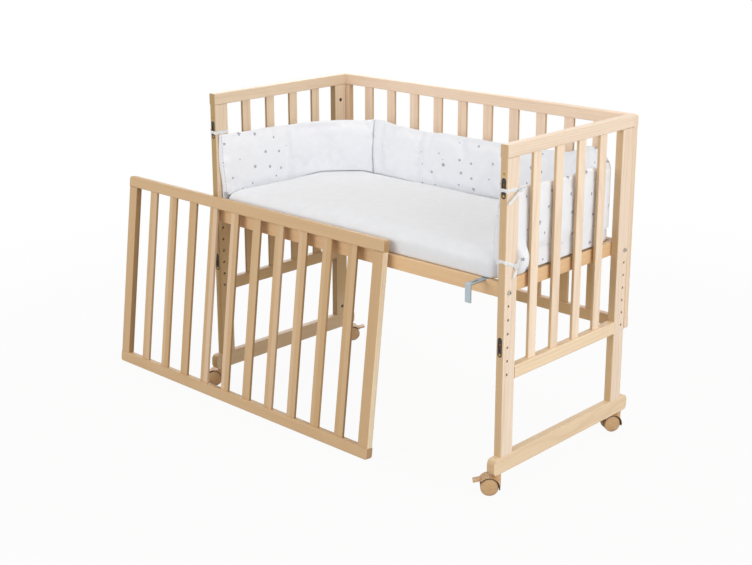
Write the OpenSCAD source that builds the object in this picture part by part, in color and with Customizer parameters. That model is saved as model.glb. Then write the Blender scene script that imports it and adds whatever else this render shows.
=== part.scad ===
// Bedside cot in pale pine: two end panels on castor feet, a back side, a height-set base
// with mattress and padded bumper, and the front side taken off and leaned in front.
// The frame stands with its centre over the origin, +X to the right and +Y to the back.

/* [Frame] */
// Outer length over both end panels
bed_l = 950; // [920:1:1000]
// Depth of an end panel from front post to back post
bed_w = 470; // [455:1:500]
// Height of the panels above the floor
bed_h = 783; // [760:1:820]
// Height of the panels' lower rails above the floor
panel_low = 260; // [245:1:268]
// Width of a post, front to back
post_w = 42; // [38:0.5:48]
// Thickness of the posts and of the end panels
post_t = 20; // [18:0.5:24]
// Height of an end panel's top rail
top_rail_h = 29; // [25:0.5:34]
// Height of an end panel's lower rail
end_rail_h = 31; // [26:0.5:36]
// Rounding along the edges of posts and rails
edge_r = 3; // [1.5:0.5:4]

/* [Side panels] */
// Thickness of the back side and the front side
side_t = 18; // [17:0.5:22]
// Height of their top and lower rails
side_rail_h = 29; // [26:0.5:34]
// Width of their upright end pieces
stile_w = 33; // [30:0.5:40]
// Rounding of a side's outer corners
corner_r = 9; // [4:0.5:12]

/* [Slats] */
// Slats in an end panel
end_slats = 4; // [3:1:4]
// Width of an end panel's slat
end_slat_w = 28; // [24:0.5:32]
// Slats in a side
side_slats = 10; // [8:1:10]
// Width of a side's slat
side_slat_w = 29; // [24:0.5:32]
// Thickness of all slats
slat_t = 8; // [7:0.5:11]
// Length of the tongue on each end of a slat
tenon_l = 8; // [5:0.5:12]

/* [Foot rails] */
// Height of a foot rail
foot_h = 40; // [34:0.5:46]
// How far a foot rail stands out beyond its posts, front and back together
foot_over = 51; // [50:0.5:64]
// How far the foot rails sit to the back of the posts
foot_shift = 3.5; // [0:0.5:5]
// Rounding of a foot rail's ends
foot_end_r = 14; // [4:0.5:16]

/* [Base] */
// Height of the top fixing hole above the floor
hole_top = 463.5; // [455:0.5:475]
// Distance between the fixing holes
hole_pitch = 31; // [26:0.5:31]
// Number of base heights
hole_n = 7; // [4:1:7]
// Diameter of a fixing hole
hole_d = 6.5; // [6.4:0.1:7.5]
// Distance of the holes from the outer edge of a post
hole_edge = 14; // [12:0.5:16]
// Height of the base's rails
base_rail_h = 33; // [28:0.5:38]
// Thickness of the base's long rails
base_rail_t = 20; // [18:0.5:23]
// Thickness of the base's end rails
base_end_t = 16; // [12:0.5:16]
// Height of the fixing bolts above the underside of the base
base_bolt_up = 13; // [12:0.5:15]
// Slats in the base
base_slats = 10; // [6:1:12]
// Width of a base slat
base_slat_w = 50; // [35:1:55]
// Thickness of a base slat
base_slat_t = 8; // [6:0.5:10]
// Side of the square ledgers under the base slats
ledger = 12; // [10:0.5:14]

/* [Bedding] */
// Room between the mattress and an end panel
mattress_end_room = 7; // [6:0.5:12]
// Room between the mattress and the back side
mattress_back_room = 19; // [17:0.5:30]
// Height of the mattress at its middle
mattress_h = 52; // [40:1:60]
// Height of the bumper above the mattress
bumper_up = 133; // [100:1:155]
// Thickness of the bumper
bumper_t = 20; // [14:0.5:24]
// Width of a tie ribbon
tie_w = 8; // [5:0.5:11]
// Distance of the upper ties below the panels' top
tie_down = 99; // [85:1:115]
// Height of the lower ties above the mattress's underside
tie_low = 44; // [42:1:60]

/* [Castors] */
// Wheel diameter
wheel_d = 40; // [36:0.5:41]
// Width of one wheel of a pair
wheel_w = 11; // [9:0.5:13]
// Height of a foot rail above the floor
castor_h = 48; // [46:0.5:54]
// Distance of a wheel axle behind the swivel axis
trail = 17; // [16:0.5:19]
// Diameter of the swivel stem
stem_d = 8; // [6:0.5:8]
// Distance of a stem from the end of its foot rail
stem_in = 24; // [21:0.5:25]
// Diameter of the wheel axle
axle_d = 6; // [4:0.5:7]
// Thickness of the plate between a pair of wheels
web_t = 11; // [10.5:0.5:13]
// Thickness of the hood over the wheels
hood_t = 2.5; // [2:0.1:3]
// Length of a brake pedal
pedal_l = 20; // [14:0.5:21]
// Width of a brake pedal
pedal_w = 18; // [14:0.5:22]
// Slope of a pressed pedal
pedal_slope = 14; // [8:1:24]
// Turn of a pedal from pressed to released
pedal_lift = 25; // [10:1:30]
// Heading of the front left castor's wheels
turn_front_left = 215; // [0:1:360]
// Heading of the back left castor's wheels
turn_back_left = 55; // [0:1:360]
// Heading of the front right castor's wheels
turn_front_right = 222; // [0:1:360]
// Heading of the back right castor's wheels
turn_back_right = 238; // [0:1:360]

/* [Fittings] */
// Width of a keyhole plate
key_w = 12; // [10:0.5:14]
// Height of a keyhole plate
key_h = 45; // [38:0.5:50]
// Distance of the upper keyhole plates' middle below the panels' top
key_down = 93; // [85:1:103]
// Height of the lower keyhole plates' middle above the panels' underside
key_up = 81; // [74:1:88]
// Diameter of the frame bolts
bolt_d = 6; // [5:0.5:6]
// Diameter of a barrel nut
nut_d = 10; // [9:0.5:12]
// Width of the bed hook
hook_w = 15.5; // [13:0.5:22]
// Thickness of the bed hook's strip
hook_t = 3; // [2:0.25:4]
// Reach of the bed hook in front of the base
hook_reach = 50; // [45:1:90]
// Length of the bed hook's front leg
hook_drop = 42; // [30:1:60]
// Distance from the hook's middle to the end panel
hook_in = 43; // [26.5:0.5:60]

/* [Leaning side] */
// Lean of the front side from upright
lean = 6.8; // [4:0.1:9]
// Place of its left end along the frame
side_x = -804; // [-900:1:-600]

/* [Hidden] */

$fn = 48;
fit = 0.1;          // slip of a tongue, dowel or nut in its seat
run = 0.05;         // running clearance of a shaft
near = 0.3;         // gap between pieces that lean or lie on each other
cut = 1;            // overshoot of a cut past a face

pine = "burlywood";
pale_pine = "navajowhite";
steel = "silver";
castor_tan = "tan";

in_x = bed_l / 2 - post_t;              // inner face of an end panel
out_y = bed_w / 2;                      // front and back face of the end panels
in_y = out_y - post_w;                  // inner edge of a post
post_y = out_y - post_w / 2;
post_x = in_x + post_t / 2;
foot_top = castor_h + foot_h;
post_top = bed_h - top_rail_h;
foot_end = out_y + foot_over / 2;       // half the length of a foot rail
key_high = bed_h - key_down;
key_low = panel_low + key_up;

dowel_d = 8;
dowel_l = 40;
dowel_gap = 20;                         // between the two dowels in a post's top
end_rail_mid = panel_low + end_rail_h / 2;

// Rounded section of timber, centred, w by d.
module section(w, d, r) {
    square([w - 2 * r, d], center = true);
    square([w, d - 2 * r], center = true);
    for (x = [-1, 1])
        for (y = [-1, 1])
            translate([x * (w / 2 - r), y * (d / 2 - r)]) circle(r);
}

module bar_z(w, d, len, r) linear_extrude(len) section(w, d, r);

module bar_x(d, h, len, r) rotate([90, 0, 90]) linear_extrude(len) section(d, h, r);

module bar_y(w, h, len, r) rotate([-90, 0, 0]) linear_extrude(len) section(w, h, r);

module rod_x(r, len) rotate([0, 90, 0]) cylinder(r = r, h = len);

module rod_y(r, len) rotate([-90, 0, 0]) cylinder(r = r, h = len);

module left() mirror([1, 0, 0]) children();

module back() mirror([0, 1, 0]) children();

module both_ends() {
    children();
    left() children();
}

module four_corners() {
    both_ends() {
        children();
        back() children();
    }
}

// End panels, drawn at the right end with the front at -Y

nut_l = 14;
nut_sink = 0.4;                         // of a nut's end below a post's inner face
nut_r = nut_d / 2;
foot_nut_z = foot_top + 23;
panel_bolt_high = key_high + 23;
panel_bolt_low = hole_top - 4.5 * hole_pitch;

// Holes that every post has: fixing row, foot bolt with its nut, and dowels.
module post_cuts() {
    for (i = [0:hole_n - 1])
        translate([in_x - cut, -out_y + hole_edge, hole_top - i * hole_pitch])
            rod_x(hole_d / 2, post_t + 2 * cut);
    translate([post_x, -post_y, foot_top - cut])
        cylinder(d = bolt_d + 2 * fit, h = foot_nut_z - foot_top + nut_d + cut);
    translate([in_x - cut, -post_y, foot_nut_z]) rod_x(nut_r + fit, nut_l + 1 + cut);
    for (y = [-1, 1])
        translate([post_x, -post_y + y * dowel_gap / 2, post_top - dowel_l / 2])
            cylinder(d = dowel_d + 2 * fit, h = dowel_l);
    translate([post_x, -in_y - dowel_l / 2, end_rail_mid])
        rod_y(dowel_d / 2 + fit, dowel_l);
}

module post_blank()
    translate([post_x, -post_y, foot_top]) bar_z(post_t, post_w, post_top - foot_top, edge_r);

key_deep = 2.5;
key_pocket = 9;                         // room for a stud's head behind a plate
key_slot = 5;
key_head = 9;
key_travel = 12;
key_screw = key_h / 2 - key_w / 2;      // from the plate's middle to its end screw
stop_up = 31;                           // from the upper plate's middle to the screw above it
screw_d = 3;
screw_head = 6;
screw_head_t = 1.2;
screw_l = 14;

module stadium(w, h, deep) {
    rotate([-90, 0, 0]) linear_extrude(deep) {
        square([w, h - w], center = true);
        for (s = [-1, 1]) translate([0, s * (h - w) / 2]) circle(d = w);
    }
}

module keyhole_opening(deep) {
    translate([0, -cut, key_travel / 2]) rod_y(key_head / 2, deep + cut);
    translate([0, -cut, -key_travel / 2]) rod_y(key_slot / 2, deep + cut);
    translate([-key_slot / 2, -cut, -key_travel / 2]) cube([key_slot, deep + cut, key_travel]);
}

module at_keyholes()
    for (z = [key_low, key_high]) translate([post_x, -out_y, z]) children();

module front_post() {
    difference() {
        post_blank();
        post_cuts();
        at_keyholes() {
            translate([0, -cut, 0]) stadium(key_w + 2 * fit, key_h + 2 * fit, key_deep + cut);
            translate([0, 0, key_travel / 2]) rod_y(key_head / 2 + 1, key_pocket);
            translate([-key_head / 2, 0, -key_travel / 2 - key_slot])
                cube([key_head, key_pocket, key_travel + key_slot]);
        }
        key_screw_at() wood_screw(fit);
    }
}

module back_post() {
    back() difference() {
        post_blank();
        post_cuts();
        for (z = [panel_bolt_low, panel_bolt_high])
            translate([post_x, -out_y - cut, z]) {
                rod_y(bolt_d / 2 + fit, post_w / 2 + nut_d + cut);
                translate([-post_t / 2 - cut, post_w / 2 + cut, 0])
                    rod_x(nut_r + fit, nut_l + 1 + cut);
            }
    }
}

end_gap = (2 * in_y - end_slats * end_slat_w) / (end_slats + 1);
tenon_in = 2;                           // shoulder on each side of a tongue
tenon_side = 1;                         // shoulder on each face of a tongue

function end_slat_y(i) = -in_y + end_gap + end_slat_w / 2 + i * (end_slat_w + end_gap);

module end_tongues(z, slip) {
    for (i = [0:end_slats - 1])
        translate([post_x - slat_t / 2 + tenon_side - slip,
                end_slat_y(i) - end_slat_w / 2 + tenon_in - slip, z - slip])
            cube([slat_t - 2 * tenon_side + 2 * slip, end_slat_w - 2 * tenon_in + 2 * slip,
                    tenon_l + 2 * slip]);
}

module end_top_rail() {
    difference() {
        translate([post_x, -out_y, post_top + top_rail_h / 2])
            bar_y(post_t, top_rail_h, bed_w, edge_r);
        end_tongues(post_top, fit);
        translate([0, 0, -cut]) end_tongues(post_top, fit);
        for (y = [-post_y, post_y])
            for (s = [-1, 1])
                translate([post_x, y + s * dowel_gap / 2, post_top - cut])
                    cylinder(d = dowel_d + 2 * fit, h = dowel_l / 2 + cut);
    }
}

module end_bottom_rail() {
    difference() {
        translate([post_x, -in_y, end_rail_mid]) bar_y(post_t, end_rail_h, 2 * in_y, edge_r);
        end_tongues(panel_low + end_rail_h - tenon_l, fit);
        translate([0, 0, cut]) end_tongues(panel_low + end_rail_h - tenon_l, fit);
        for (s = [0, 1])
            mirror([0, s, 0])
                translate([post_x, -in_y - cut, end_rail_mid])
                    rod_y(dowel_d / 2 + fit, dowel_l / 2 + cut);
    }
}

module end_slat_row() {
    low = panel_low + end_rail_h;
    for (i = [0:end_slats - 1])
        translate([post_x, end_slat_y(i), low])
            bar_z(slat_t, end_slat_w, post_top - low, edge_r - 0.5);
    end_tongues(low - tenon_l, 0);
    end_tongues(post_top, 0);
}

stem_y = foot_end - stem_in;            // from a foot rail's middle to its stems
stem_up = 28;                           // of the stem inside the foot rail
head_d = 10;
head_deep = 8;

module foot_outline() {
    translate([foot_shift, castor_h + foot_h / 2]) section(2 * foot_end, foot_h, foot_end_r);
}

module foot_rail() {
    difference() {
        intersection() {
            translate([in_x, 0, 0]) rotate([90, 0, 90]) linear_extrude(post_t) foot_outline();
            translate([post_x, foot_shift - foot_end, castor_h + foot_h / 2])
                bar_y(post_t, foot_h, 2 * foot_end, edge_r);
        }
        for (s = [-1, 1]) {
            translate([post_x, foot_shift + s * stem_y, castor_h - cut])
                cylinder(d = stem_d + 2 * fit, h = stem_up + 1 + cut);
            translate([post_x, s * post_y, castor_h - cut]) {
                cylinder(d = bolt_d + 2 * fit, h = foot_h + 2 * cut);
                cylinder(d = head_d + 1, h = head_deep + cut);
            }
        }
    }
}

module dowel_set() {
    for (s = [0, 1])
        mirror([0, s, 0]) {
            for (y = [-1, 1])
                translate([post_x, -post_y + y * dowel_gap / 2, post_top - dowel_l / 2 + fit])
                    cylinder(d = dowel_d, h = dowel_l - 2 * fit);
            translate([post_x, -in_y - dowel_l / 2 + fit, end_rail_mid])
                rod_y(dowel_d / 2, dowel_l - 2 * fit);
        }
}

module left_front_post() color(pine) left() front_post();
module left_back_post() color(pine) left() back_post();
module left_top_rail() color(pine) left() end_top_rail();
module left_bottom_rail() color(pine) left() end_bottom_rail();
module left_slats() color(pine) left() end_slat_row();
module left_foot_rail() color(pine) left() foot_rail();
module right_front_post() color(pale_pine) front_post();
module right_back_post() color(pale_pine) back_post();
module right_top_rail() color(pale_pine) end_top_rail();
module right_bottom_rail() color(pale_pine) end_bottom_rail();
module right_slats() color(pale_pine) end_slat_row();
module right_foot_rail() color(pale_pine) foot_rail();
module dowels() color("wheat") both_ends() dowel_set();

// Sides, drawn from x = 0 to bed_l, y = 0 to side_t, z = 0 to side_h

side_h = bed_h - panel_low;
side_gap = (bed_l - 2 * stile_w - side_slats * side_slat_w) / (side_slats + 1);

function side_slat_x(i) = stile_w + side_gap + side_slat_w / 2 + i * (side_slat_w + side_gap);

module side_outline() {
    translate([bed_l / 2, side_h / 2]) section(bed_l, side_h, corner_r);
}

module rounded_slab() {
    translate([0, side_t, 0]) rotate([90, 0, 0]) linear_extrude(side_t) side_outline();
}

module side_tongues(z, slip) {
    for (i = [0:side_slats - 1])
        translate([side_slat_x(i) - side_slat_w / 2 + tenon_in - slip,
                side_t / 2 - slat_t / 2 + tenon_side - slip, z - slip])
            cube([side_slat_w - 2 * tenon_in + 2 * slip, slat_t - 2 * tenon_side + 2 * slip,
                    tenon_l + 2 * slip]);
}

module side_rail(z, tongue_z, open) {
    difference() {
        intersection() {
            rounded_slab();
            translate([0, side_t / 2, z + side_rail_h / 2])
                bar_x(side_t, side_rail_h, bed_l, edge_r);
        }
        side_tongues(tongue_z, fit);
        translate([0, 0, open]) side_tongues(tongue_z, fit);
        children();
    }
}

module top_side_rail() side_rail(side_h - side_rail_h, side_h - side_rail_h, -cut);

module bottom_side_rail() side_rail(0, side_rail_h - tenon_l, cut);

module stile_pair() {
    for (x = [stile_w / 2, bed_l - stile_w / 2])
        translate([x, side_t / 2, side_rail_h])
            bar_z(stile_w, side_t, side_h - 2 * side_rail_h, edge_r);
}

module side_slat_row() {
    for (i = [0:side_slats - 1])
        translate([side_slat_x(i), side_t / 2, side_rail_h])
            bar_z(side_slat_w, slat_t, side_h - 2 * side_rail_h, edge_r - 0.5);
    side_tongues(side_rail_h - tenon_l, 0);
    side_tongues(side_h - side_rail_h, 0);
}

module at_back() translate([-bed_l / 2, out_y, panel_low]) children();

module back_top_rail() color(pine) at_back() top_side_rail();
module back_bottom_rail() color(pine) at_back() bottom_side_rail();
module back_slats() color(pine) at_back() side_slat_row();

module back_stiles() {
    color(pine) difference() {
        at_back() stile_pair();
        both_ends()
            for (z = [panel_bolt_low, panel_bolt_high])
                translate([post_x, out_y - cut, z]) rod_y(bolt_d / 2 + fit, side_t + 2 * cut);
    }
}

// The leaning side stands on its lower back edge and rests near the front of the posts.
lean_lift = (side_t - edge_r) * sin(lean) + edge_r * (1 - cos(lean));
lean_y = -out_y - near - edge_r - (side_t - edge_r) * cos(lean) - (side_h - edge_r) * sin(lean);

module leaned() translate([side_x, lean_y, lean_lift]) rotate([-lean, 0, 0]) children();

stud_d = 4;
stud_head = 8;
stud_head_t = 1.5;
stud_out = 6;
stud_in = 10;
stud_x = post_t / 2;

module at_studs() {
    for (x = [stud_x, bed_l - stud_x])
        for (z = [key_low, key_high])
            translate([x, side_t, z - key_travel / 2 - panel_low]) children();
}

module side_top_rail() color("peru") leaned() top_side_rail();
module side_bottom_rail() color("peru") leaned() bottom_side_rail();
module side_slats() color("peru") leaned() side_slat_row();

module side_stiles() {
    color("peru") leaned() difference() {
        stile_pair();
        at_studs() translate([0, -stud_in - 1, 0]) rod_y(stud_d / 2 + fit, stud_in + 1 + cut);
    }
}

module side_studs() {
    color(steel) leaned() at_studs() {
        translate([0, -stud_in, 0]) rod_y(stud_d / 2, stud_in + stud_out - stud_head_t);
        translate([0, stud_out - stud_head_t, 0]) rod_y(stud_head / 2, stud_head_t);
    }
}

// Base

base_gap = 0.6;                         // from the base to an end panel
base_x = in_x - base_gap;
base_y = out_y - hole_edge;             // middle of a long rail
rail_in_y = base_y - base_rail_t / 2;
base_low = hole_top - base_bolt_up;
base_top = base_low + base_rail_h;
bolt_in = 36;                           // of a fixing bolt inside a long rail
base_nut_x = base_x - bolt_in + 12;
hook_x = in_x - hook_in;
hook_slip = 0.2;

module base_long_rail() {
    difference() {
        translate([-base_x, -base_y, base_low + base_rail_h / 2])
            bar_x(base_rail_t, base_rail_h, 2 * base_x, edge_r - 1);
        both_ends() {
            translate([base_x - bolt_in - 1, -base_y, hole_top])
                rod_x(bolt_d / 2 + fit, bolt_in + 1 + cut);
            translate([base_nut_x, -base_y, base_low - cut])
                cylinder(d = nut_d + 2 * fit, h = base_bolt_up + nut_l / 2 + cut);
        }
    }
}

module base_front_rail() {
    color(pine) difference() {
        base_long_rail();
        translate([hook_x - hook_w / 2 - hook_slip, -base_y - base_rail_t,
                base_top - hook_t - hook_slip])
            cube([hook_w + 2 * hook_slip, 2 * base_rail_t, hook_t + hook_slip + cut]);
    }
}

module base_back_rail() color(pine) back() base_long_rail();

module base_end_rails() {
    color(pine) both_ends()
        translate([base_x - base_end_t / 2, -rail_in_y, base_low + base_rail_h / 2])
            bar_y(base_end_t, base_rail_h, 2 * rail_in_y, edge_r - 1);
}

ledger_x = base_x - 54;
ledger_top = base_top - base_slat_t;

module base_ledgers() {
    color(pine)
        for (y = [-rail_in_y, rail_in_y - ledger])
            translate([-ledger_x, y, ledger_top - ledger]) cube([2 * ledger_x, ledger, ledger]);
}

base_pitch = (2 * ledger_x - base_slat_w) / (base_slats - 1);

module base_slats() {
    color("wheat")
        for (i = [0:base_slats - 1])
            translate([-ledger_x + base_slat_w / 2 + i * base_pitch, -rail_in_y + near,
                    ledger_top + base_slat_t / 2])
                bar_y(base_slat_w, base_slat_t, 2 * (rail_in_y - near), 2);
}

// Bedding: skins over rings of points, each ring with the same number of points

function skin_faces(rings, points) = concat(
    [[for (j = [0:points - 1]) j]],
    [for (i = [0:rings - 2]) for (j = [0:points - 1]) let (k = (j + 1) % points)
        [i * points + j, (i + 1) * points + j, (i + 1) * points + k]],
    [for (i = [0:rings - 2]) for (j = [0:points - 1]) let (k = (j + 1) % points)
        [i * points + j, (i + 1) * points + k, i * points + k]],
    [[for (j = [points - 1:-1:0]) (rings - 1) * points + j]]);

module skin(rings) {
    points = len(rings[0]);
    polyhedron([for (ring = rings) each ring], skin_faces(len(rings), points), convexity = 6);
}

mattress_low = base_top + near;
mattress_l = 2 * (in_x - mattress_end_room);
mattress_front = -(base_y + base_rail_t / 2) + 1;
mattress_w = out_y - mattress_back_room - mattress_front;
mattress_y = mattress_front + mattress_w / 2;
mattress_corner = 26;
corner_steps = 6;

// Rounded rectangle of points, w by d, at height z.
function soft_ring(w, d, r, z) = [
    for (q = [0:3]) for (s = [0:corner_steps])
        let (a = 180 + 90 * q + 90 * s / corner_steps,
            sx = (q == 1 || q == 2) ? 1 : -1, sy = (q >= 2) ? 1 : -1)
        [sx * (w / 2 - r) + r * cos(a), mattress_y + sy * (d / 2 - r) + r * sin(a), z]];

// Inset and height of each ring: the side from the flat underside, then the soft top edge.
side_rings = [[8, 0], [2.5, 0.05], [0, 0.16], [0.8, 0.34], [0, 0.5], [1, 0.6]];
top_rings = [[3.5, 0.7], [8, 0.79], [14, 0.86], [24, 0.92], [45, 0.965], [90, 0.99], [170, 1]];

module mattress() {
    color("whitesmoke") skin([
        for (m = concat(side_rings, top_rings))
            soft_ring(mattress_l - 2 * m[0], mattress_w - 2 * m[0],
                max(6, mattress_corner - m[0] / 2), mattress_low + m[1] * mattress_h)]);
}

wall_off = 1.8;                         // from the panels to the bumper's outer face
wall_x = in_x - wall_off;
wall_y = out_y - wall_off;
bumper_front = -out_y + 6;
bumper_low = mattress_low + 3;
mattress_edge_z = mattress_low + 0.86 * mattress_h;
bumper_top = mattress_low + mattress_h + bumper_up;
skirt_t = wall_x - mattress_l / 2 - near;
leave_y = 210;                          // where the fold leaves the left end, from the back
fold_x = 137;                           // of the fold's seam from the left end
fold_y = 26;                            // of the fold's seam from the back
back_x = 533;                           // where the bumper meets the back again
turn_r = 70;                            // bend at the right corner
step = 26;                              // between the last raised and first hanging station
leave_pull = [8, 65];                   // guides of the fold's curve at its two ends
fold_pull = [58, 47];

function bezier(a, b, c, d, t) =
    pow(1 - t, 3) * a + 3 * pow(1 - t, 2) * t * b + 3 * (1 - t) * t * t * c + pow(t, 3) * d;

left_leave = [-wall_x, wall_y - leave_y];
fold = [-wall_x + fold_x, wall_y - fold_y];
back_meet = [-wall_x + back_x, wall_y];
turn_x = wall_x - turn_r - step;

// Stations of the bumper: place, raise of its skirt, fullness, lift of its top edge.
end_fullness = 1.1;
seam_fullness = 0.5;
ends_lift = 12;
left_lift = 5;
fold_lift = 10;
stations = concat(
    [for (i = [0:7]) let (t = i / 7)
        [[-wall_x, bumper_front + t * (left_leave[1] - step - bumper_front)],
            0, i == 0 ? end_fullness : 1, left_lift + (ends_lift - left_lift) * pow(1 - t, 2)]],
    [for (i = [0:8]) let (t = i / 8)
        [bezier(left_leave, left_leave + leave_pull, fold - fold_pull, fold, t),
            1, i == 8 ? seam_fullness : 1, left_lift + (fold_lift - left_lift) * pow(t, 3)]],
    [for (k = [[0.1, 0.85], [0.2, 0.2], [0.36, -0.1], [0.52, -0.1]])
        [fold + k[0] * (back_meet - fold), 1, 1, k[1] * fold_lift]],
    [for (t = [0.6, 0.8, 1]) [fold + t * (back_meet - fold), 0, 1, -0.1 * fold_lift]],
    [for (i = [1:6]) let (t = i / 6)
        [[back_meet[0] + t * (turn_x - back_meet[0]), wall_y], 0, 1, 0]],
    [for (i = [0:6]) let (a = 90 - 15 * i)
        [[wall_x - turn_r + turn_r * cos(a), wall_y - turn_r + turn_r * sin(a)], 1, 1, 0]],
    [for (i = [0:8]) let (t = i / 8)
        [[wall_x, wall_y - turn_r - step + t * (bumper_front - wall_y + turn_r + step)],
            0, i == 8 ? end_fullness : 1, ends_lift * pow(t, 2)]]);

// Height of the mattress's top under a point, by its distance from the nearest side.
function bed_z(p) = mattress_low + mattress_h * lookup(
    min(mattress_l / 2 - abs(p[0]), mattress_w / 2 - abs(p[1] - mattress_y)), top_rings);

// Section of the bumper as distance from the wall and height, up the wall side and down.
function body(top, low) = [
    [0, top - 30], [0.5, top - 9], [3, top - 2], [bumper_t * 0.4, top], [bumper_t * 0.66, top - 4],
    [bumper_t * 0.84, top - 22], [bumper_t, (top + low) / 2], [bumper_t * 0.9, low + 16]];

function skirted(top, low) = concat(
    [[0.8, bumper_low], [0, bumper_low + 4], [0, mattress_edge_z]], body(top, low),
    [[bumper_t * 0.55, low + 2], [skirt_t, mattress_edge_z - 2], [skirt_t - 0.6, bumper_low + 3]]);

function rested(top, low, outer) = concat(
    [[3, outer], [1, outer + 3], [0, low + 14]], body(top, low),
    [[bumper_t * 0.6, low + 4], [skirt_t, low + 1], [skirt_t - 0.6, low]]);

function heading(i) = let (
    a = stations[max(i - 1, 0)][0], b = stations[min(i + 1, len(stations) - 1)][0])
    (b - a) / norm(b - a);

function bumper_ring(i) = let (
    s = stations[i], d = heading(i), side = [d[1], -d[0]], top = bumper_top + s[3],
    low = bed_z(s[0] + side * bumper_t) + 2 * near,
    outer = bed_z(s[0] + side * (skirt_t + 1)) + 2 * near,
    shape = s[1] == 1 ? rested(top, low, outer) : skirted(top, low))
    [for (q = shape) let (u = q[1] > low ? q[0] * s[2] : q[0])
        [s[0][0] + side[0] * u, s[0][1] + side[1] * u, q[1]]];

module bumper() color("ghostwhite") skin([for (i = [0:len(stations) - 1]) bumper_ring(i)]);

tie_t = 1;
tie_off = near;
tie_high = bed_h - tie_down;
tail_w = 5;

// A ribbon round a front post, knotted on its outer face, with the tails' lengths and slopes.
module tie_band(z, tails) {
    translate([post_x, -post_y, z - tie_w / 2]) difference() {
        bar_z(post_t + 2 * (tie_off + tie_t), post_w + 2 * (tie_off + tie_t), tie_w, edge_r + tie_t);
        translate([0, 0, -cut])
            bar_z(post_t + 2 * tie_off, post_w + 2 * tie_off, tie_w + 2 * cut, edge_r);
    }
    translate([post_x + post_t / 2 + tie_off + 2 * tie_t + 3, -in_y - 7, z]) {
        sphere(4);
        for (t = tails)
            rotate([t[1], 0, 0]) translate([-tie_t / 2, -tail_w / 2, -t[0]])
                cube([tie_t, tail_w, t[0]]);
    }
}

module bumper_ties() {
    color("white") {
        tie_band(tie_high, [[42, -64], [24, 12]]);
        left() tie_band(tie_high, [[34, -72], [34, 10]]);
        tie_band(mattress_low + tie_low, [[30, -14], [30, 168]]);
    }
}

// Fittings

module keyhole_plate() {
    difference() {
        stadium(key_w, key_h, key_deep);
        keyhole_opening(key_deep + cut);
        translate([0, 0, -key_screw]) wood_screw(fit);
    }
}

module keyhole_plates() color("dimgray") both_ends() at_keyholes() keyhole_plate();

// Screws through the plates' lower ends, and one in each post above the upper plate.
module key_screw_at() {
    for (z = [key_low, key_high]) translate([post_x, -out_y, z - key_screw]) children();
    translate([post_x, -out_y, key_high + stop_up]) children();
}

module wood_screw(slip) {
    translate([0, slip > 0 ? -cut : 0, 0])
        rod_y(screw_head / 2 + slip, screw_head_t + (slip > 0 ? cut + slip : 0));
    rod_y(screw_d / 2 + slip, screw_l + slip);
}

module plate_screws() color("goldenrod") both_ends() key_screw_at() wood_screw(0);

head_t = 4;
socket_d = 5.6;
socket_deep = 2.5;

// Bolt with its head above z = 0 and its shank below.
module bolt(len) {
    difference() {
        union() {
            translate([0, 0, -len]) cylinder(d = bolt_d, h = len);
            cylinder(d = head_d, h = head_t);
        }
        translate([0, 0, head_t - socket_deep]) cylinder(d = socket_d, h = socket_deep + cut, $fn = 6);
    }
}

module base_bolts() {
    color(steel) four_corners()
        translate([bed_l / 2, -base_y, hole_top])
            rotate([0, 90, 0]) bolt(post_t + base_gap + bolt_in);
}

module foot_bolts() {
    color(steel) four_corners()
        translate([post_x, -post_y, castor_h + head_deep])
            rotate([180, 0, 0]) bolt(foot_h - head_deep + foot_nut_z - foot_top + nut_r);
}

module panel_bolts() {
    color(steel) both_ends()
        for (z = [panel_bolt_low, panel_bolt_high])
            translate([post_x, out_y + side_t, z])
                rotate([-90, 0, 0]) bolt(side_t + post_w / 2 + nut_r);
}

// The nut starts near a post's inner face and its cross hole lies on the bolt.
module nut_at_post(along_y) {
    difference() {
        translate([nut_sink, 0, 0]) rod_x(nut_r, nut_l);
        translate([post_t / 2, 0, 0]) rotate([along_y ? 90 : 0, 0, 0])
            cylinder(r = bolt_d / 2 + run, h = 2 * nut_d, center = true);
    }
}

module barrel_nuts() {
    color(steel) both_ends() {
        for (s = [0, 1])
            mirror([0, s, 0]) {
                translate([in_x, -post_y, foot_nut_z]) nut_at_post(false);
                translate([base_nut_x, -base_y, hole_top - nut_l / 2]) difference() {
                    cylinder(r = nut_r, h = nut_l);
                    translate([-nut_d, 0, nut_l / 2]) rod_x(bolt_d / 2 + run, 2 * nut_d);
                }
            }
        for (z = [panel_bolt_low, panel_bolt_high])
            translate([in_x, post_y, z]) nut_at_post(true);
    }
}

hook_leg = 26;
hook_screw_z = 11;
hook_screw_r = 2;
hook_hole = 6;
hook_slot = [12, 34];                   // ends of the strip's slot, from the base's front

module bed_hook() {
    x = hook_x - hook_w / 2;
    front = -base_y - base_rail_t / 2 - hook_reach;
    color(steel) difference() {
        union() {
            translate([x, front, base_top - hook_t])
                cube([hook_w, hook_reach + base_rail_t + near + hook_t, hook_t]);
            translate([x, front, base_top - hook_drop]) cube([hook_w, hook_t, hook_drop]);
            translate([x, -rail_in_y + near, base_top - hook_leg])
                cube([hook_w, hook_t, hook_leg]);
        }
        translate([hook_x, -rail_in_y, base_top - hook_t - hook_screw_z])
            rod_y(hook_screw_r + 2 * fit, 2 * hook_t);
        translate([hook_x, -base_y - base_rail_t / 2, base_top - 2 * hook_t])
            linear_extrude(3 * hook_t) {
                for (y = hook_slot) translate([0, -y]) circle(d = hook_hole);
                translate([-hook_hole / 2, -hook_slot[1]])
                    square([hook_hole, hook_slot[1] - hook_slot[0]]);
            }
    }
}

module hook_screws() {
    color(steel)
        translate([hook_x, -rail_in_y + near + hook_t, base_top - hook_t - hook_screw_z]) {
            rod_y(2 * hook_screw_r, hook_screw_r);
            translate([0, -near - hook_t, 0]) rod_y(hook_screw_r, hook_t + near + cut);
        }
}

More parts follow.
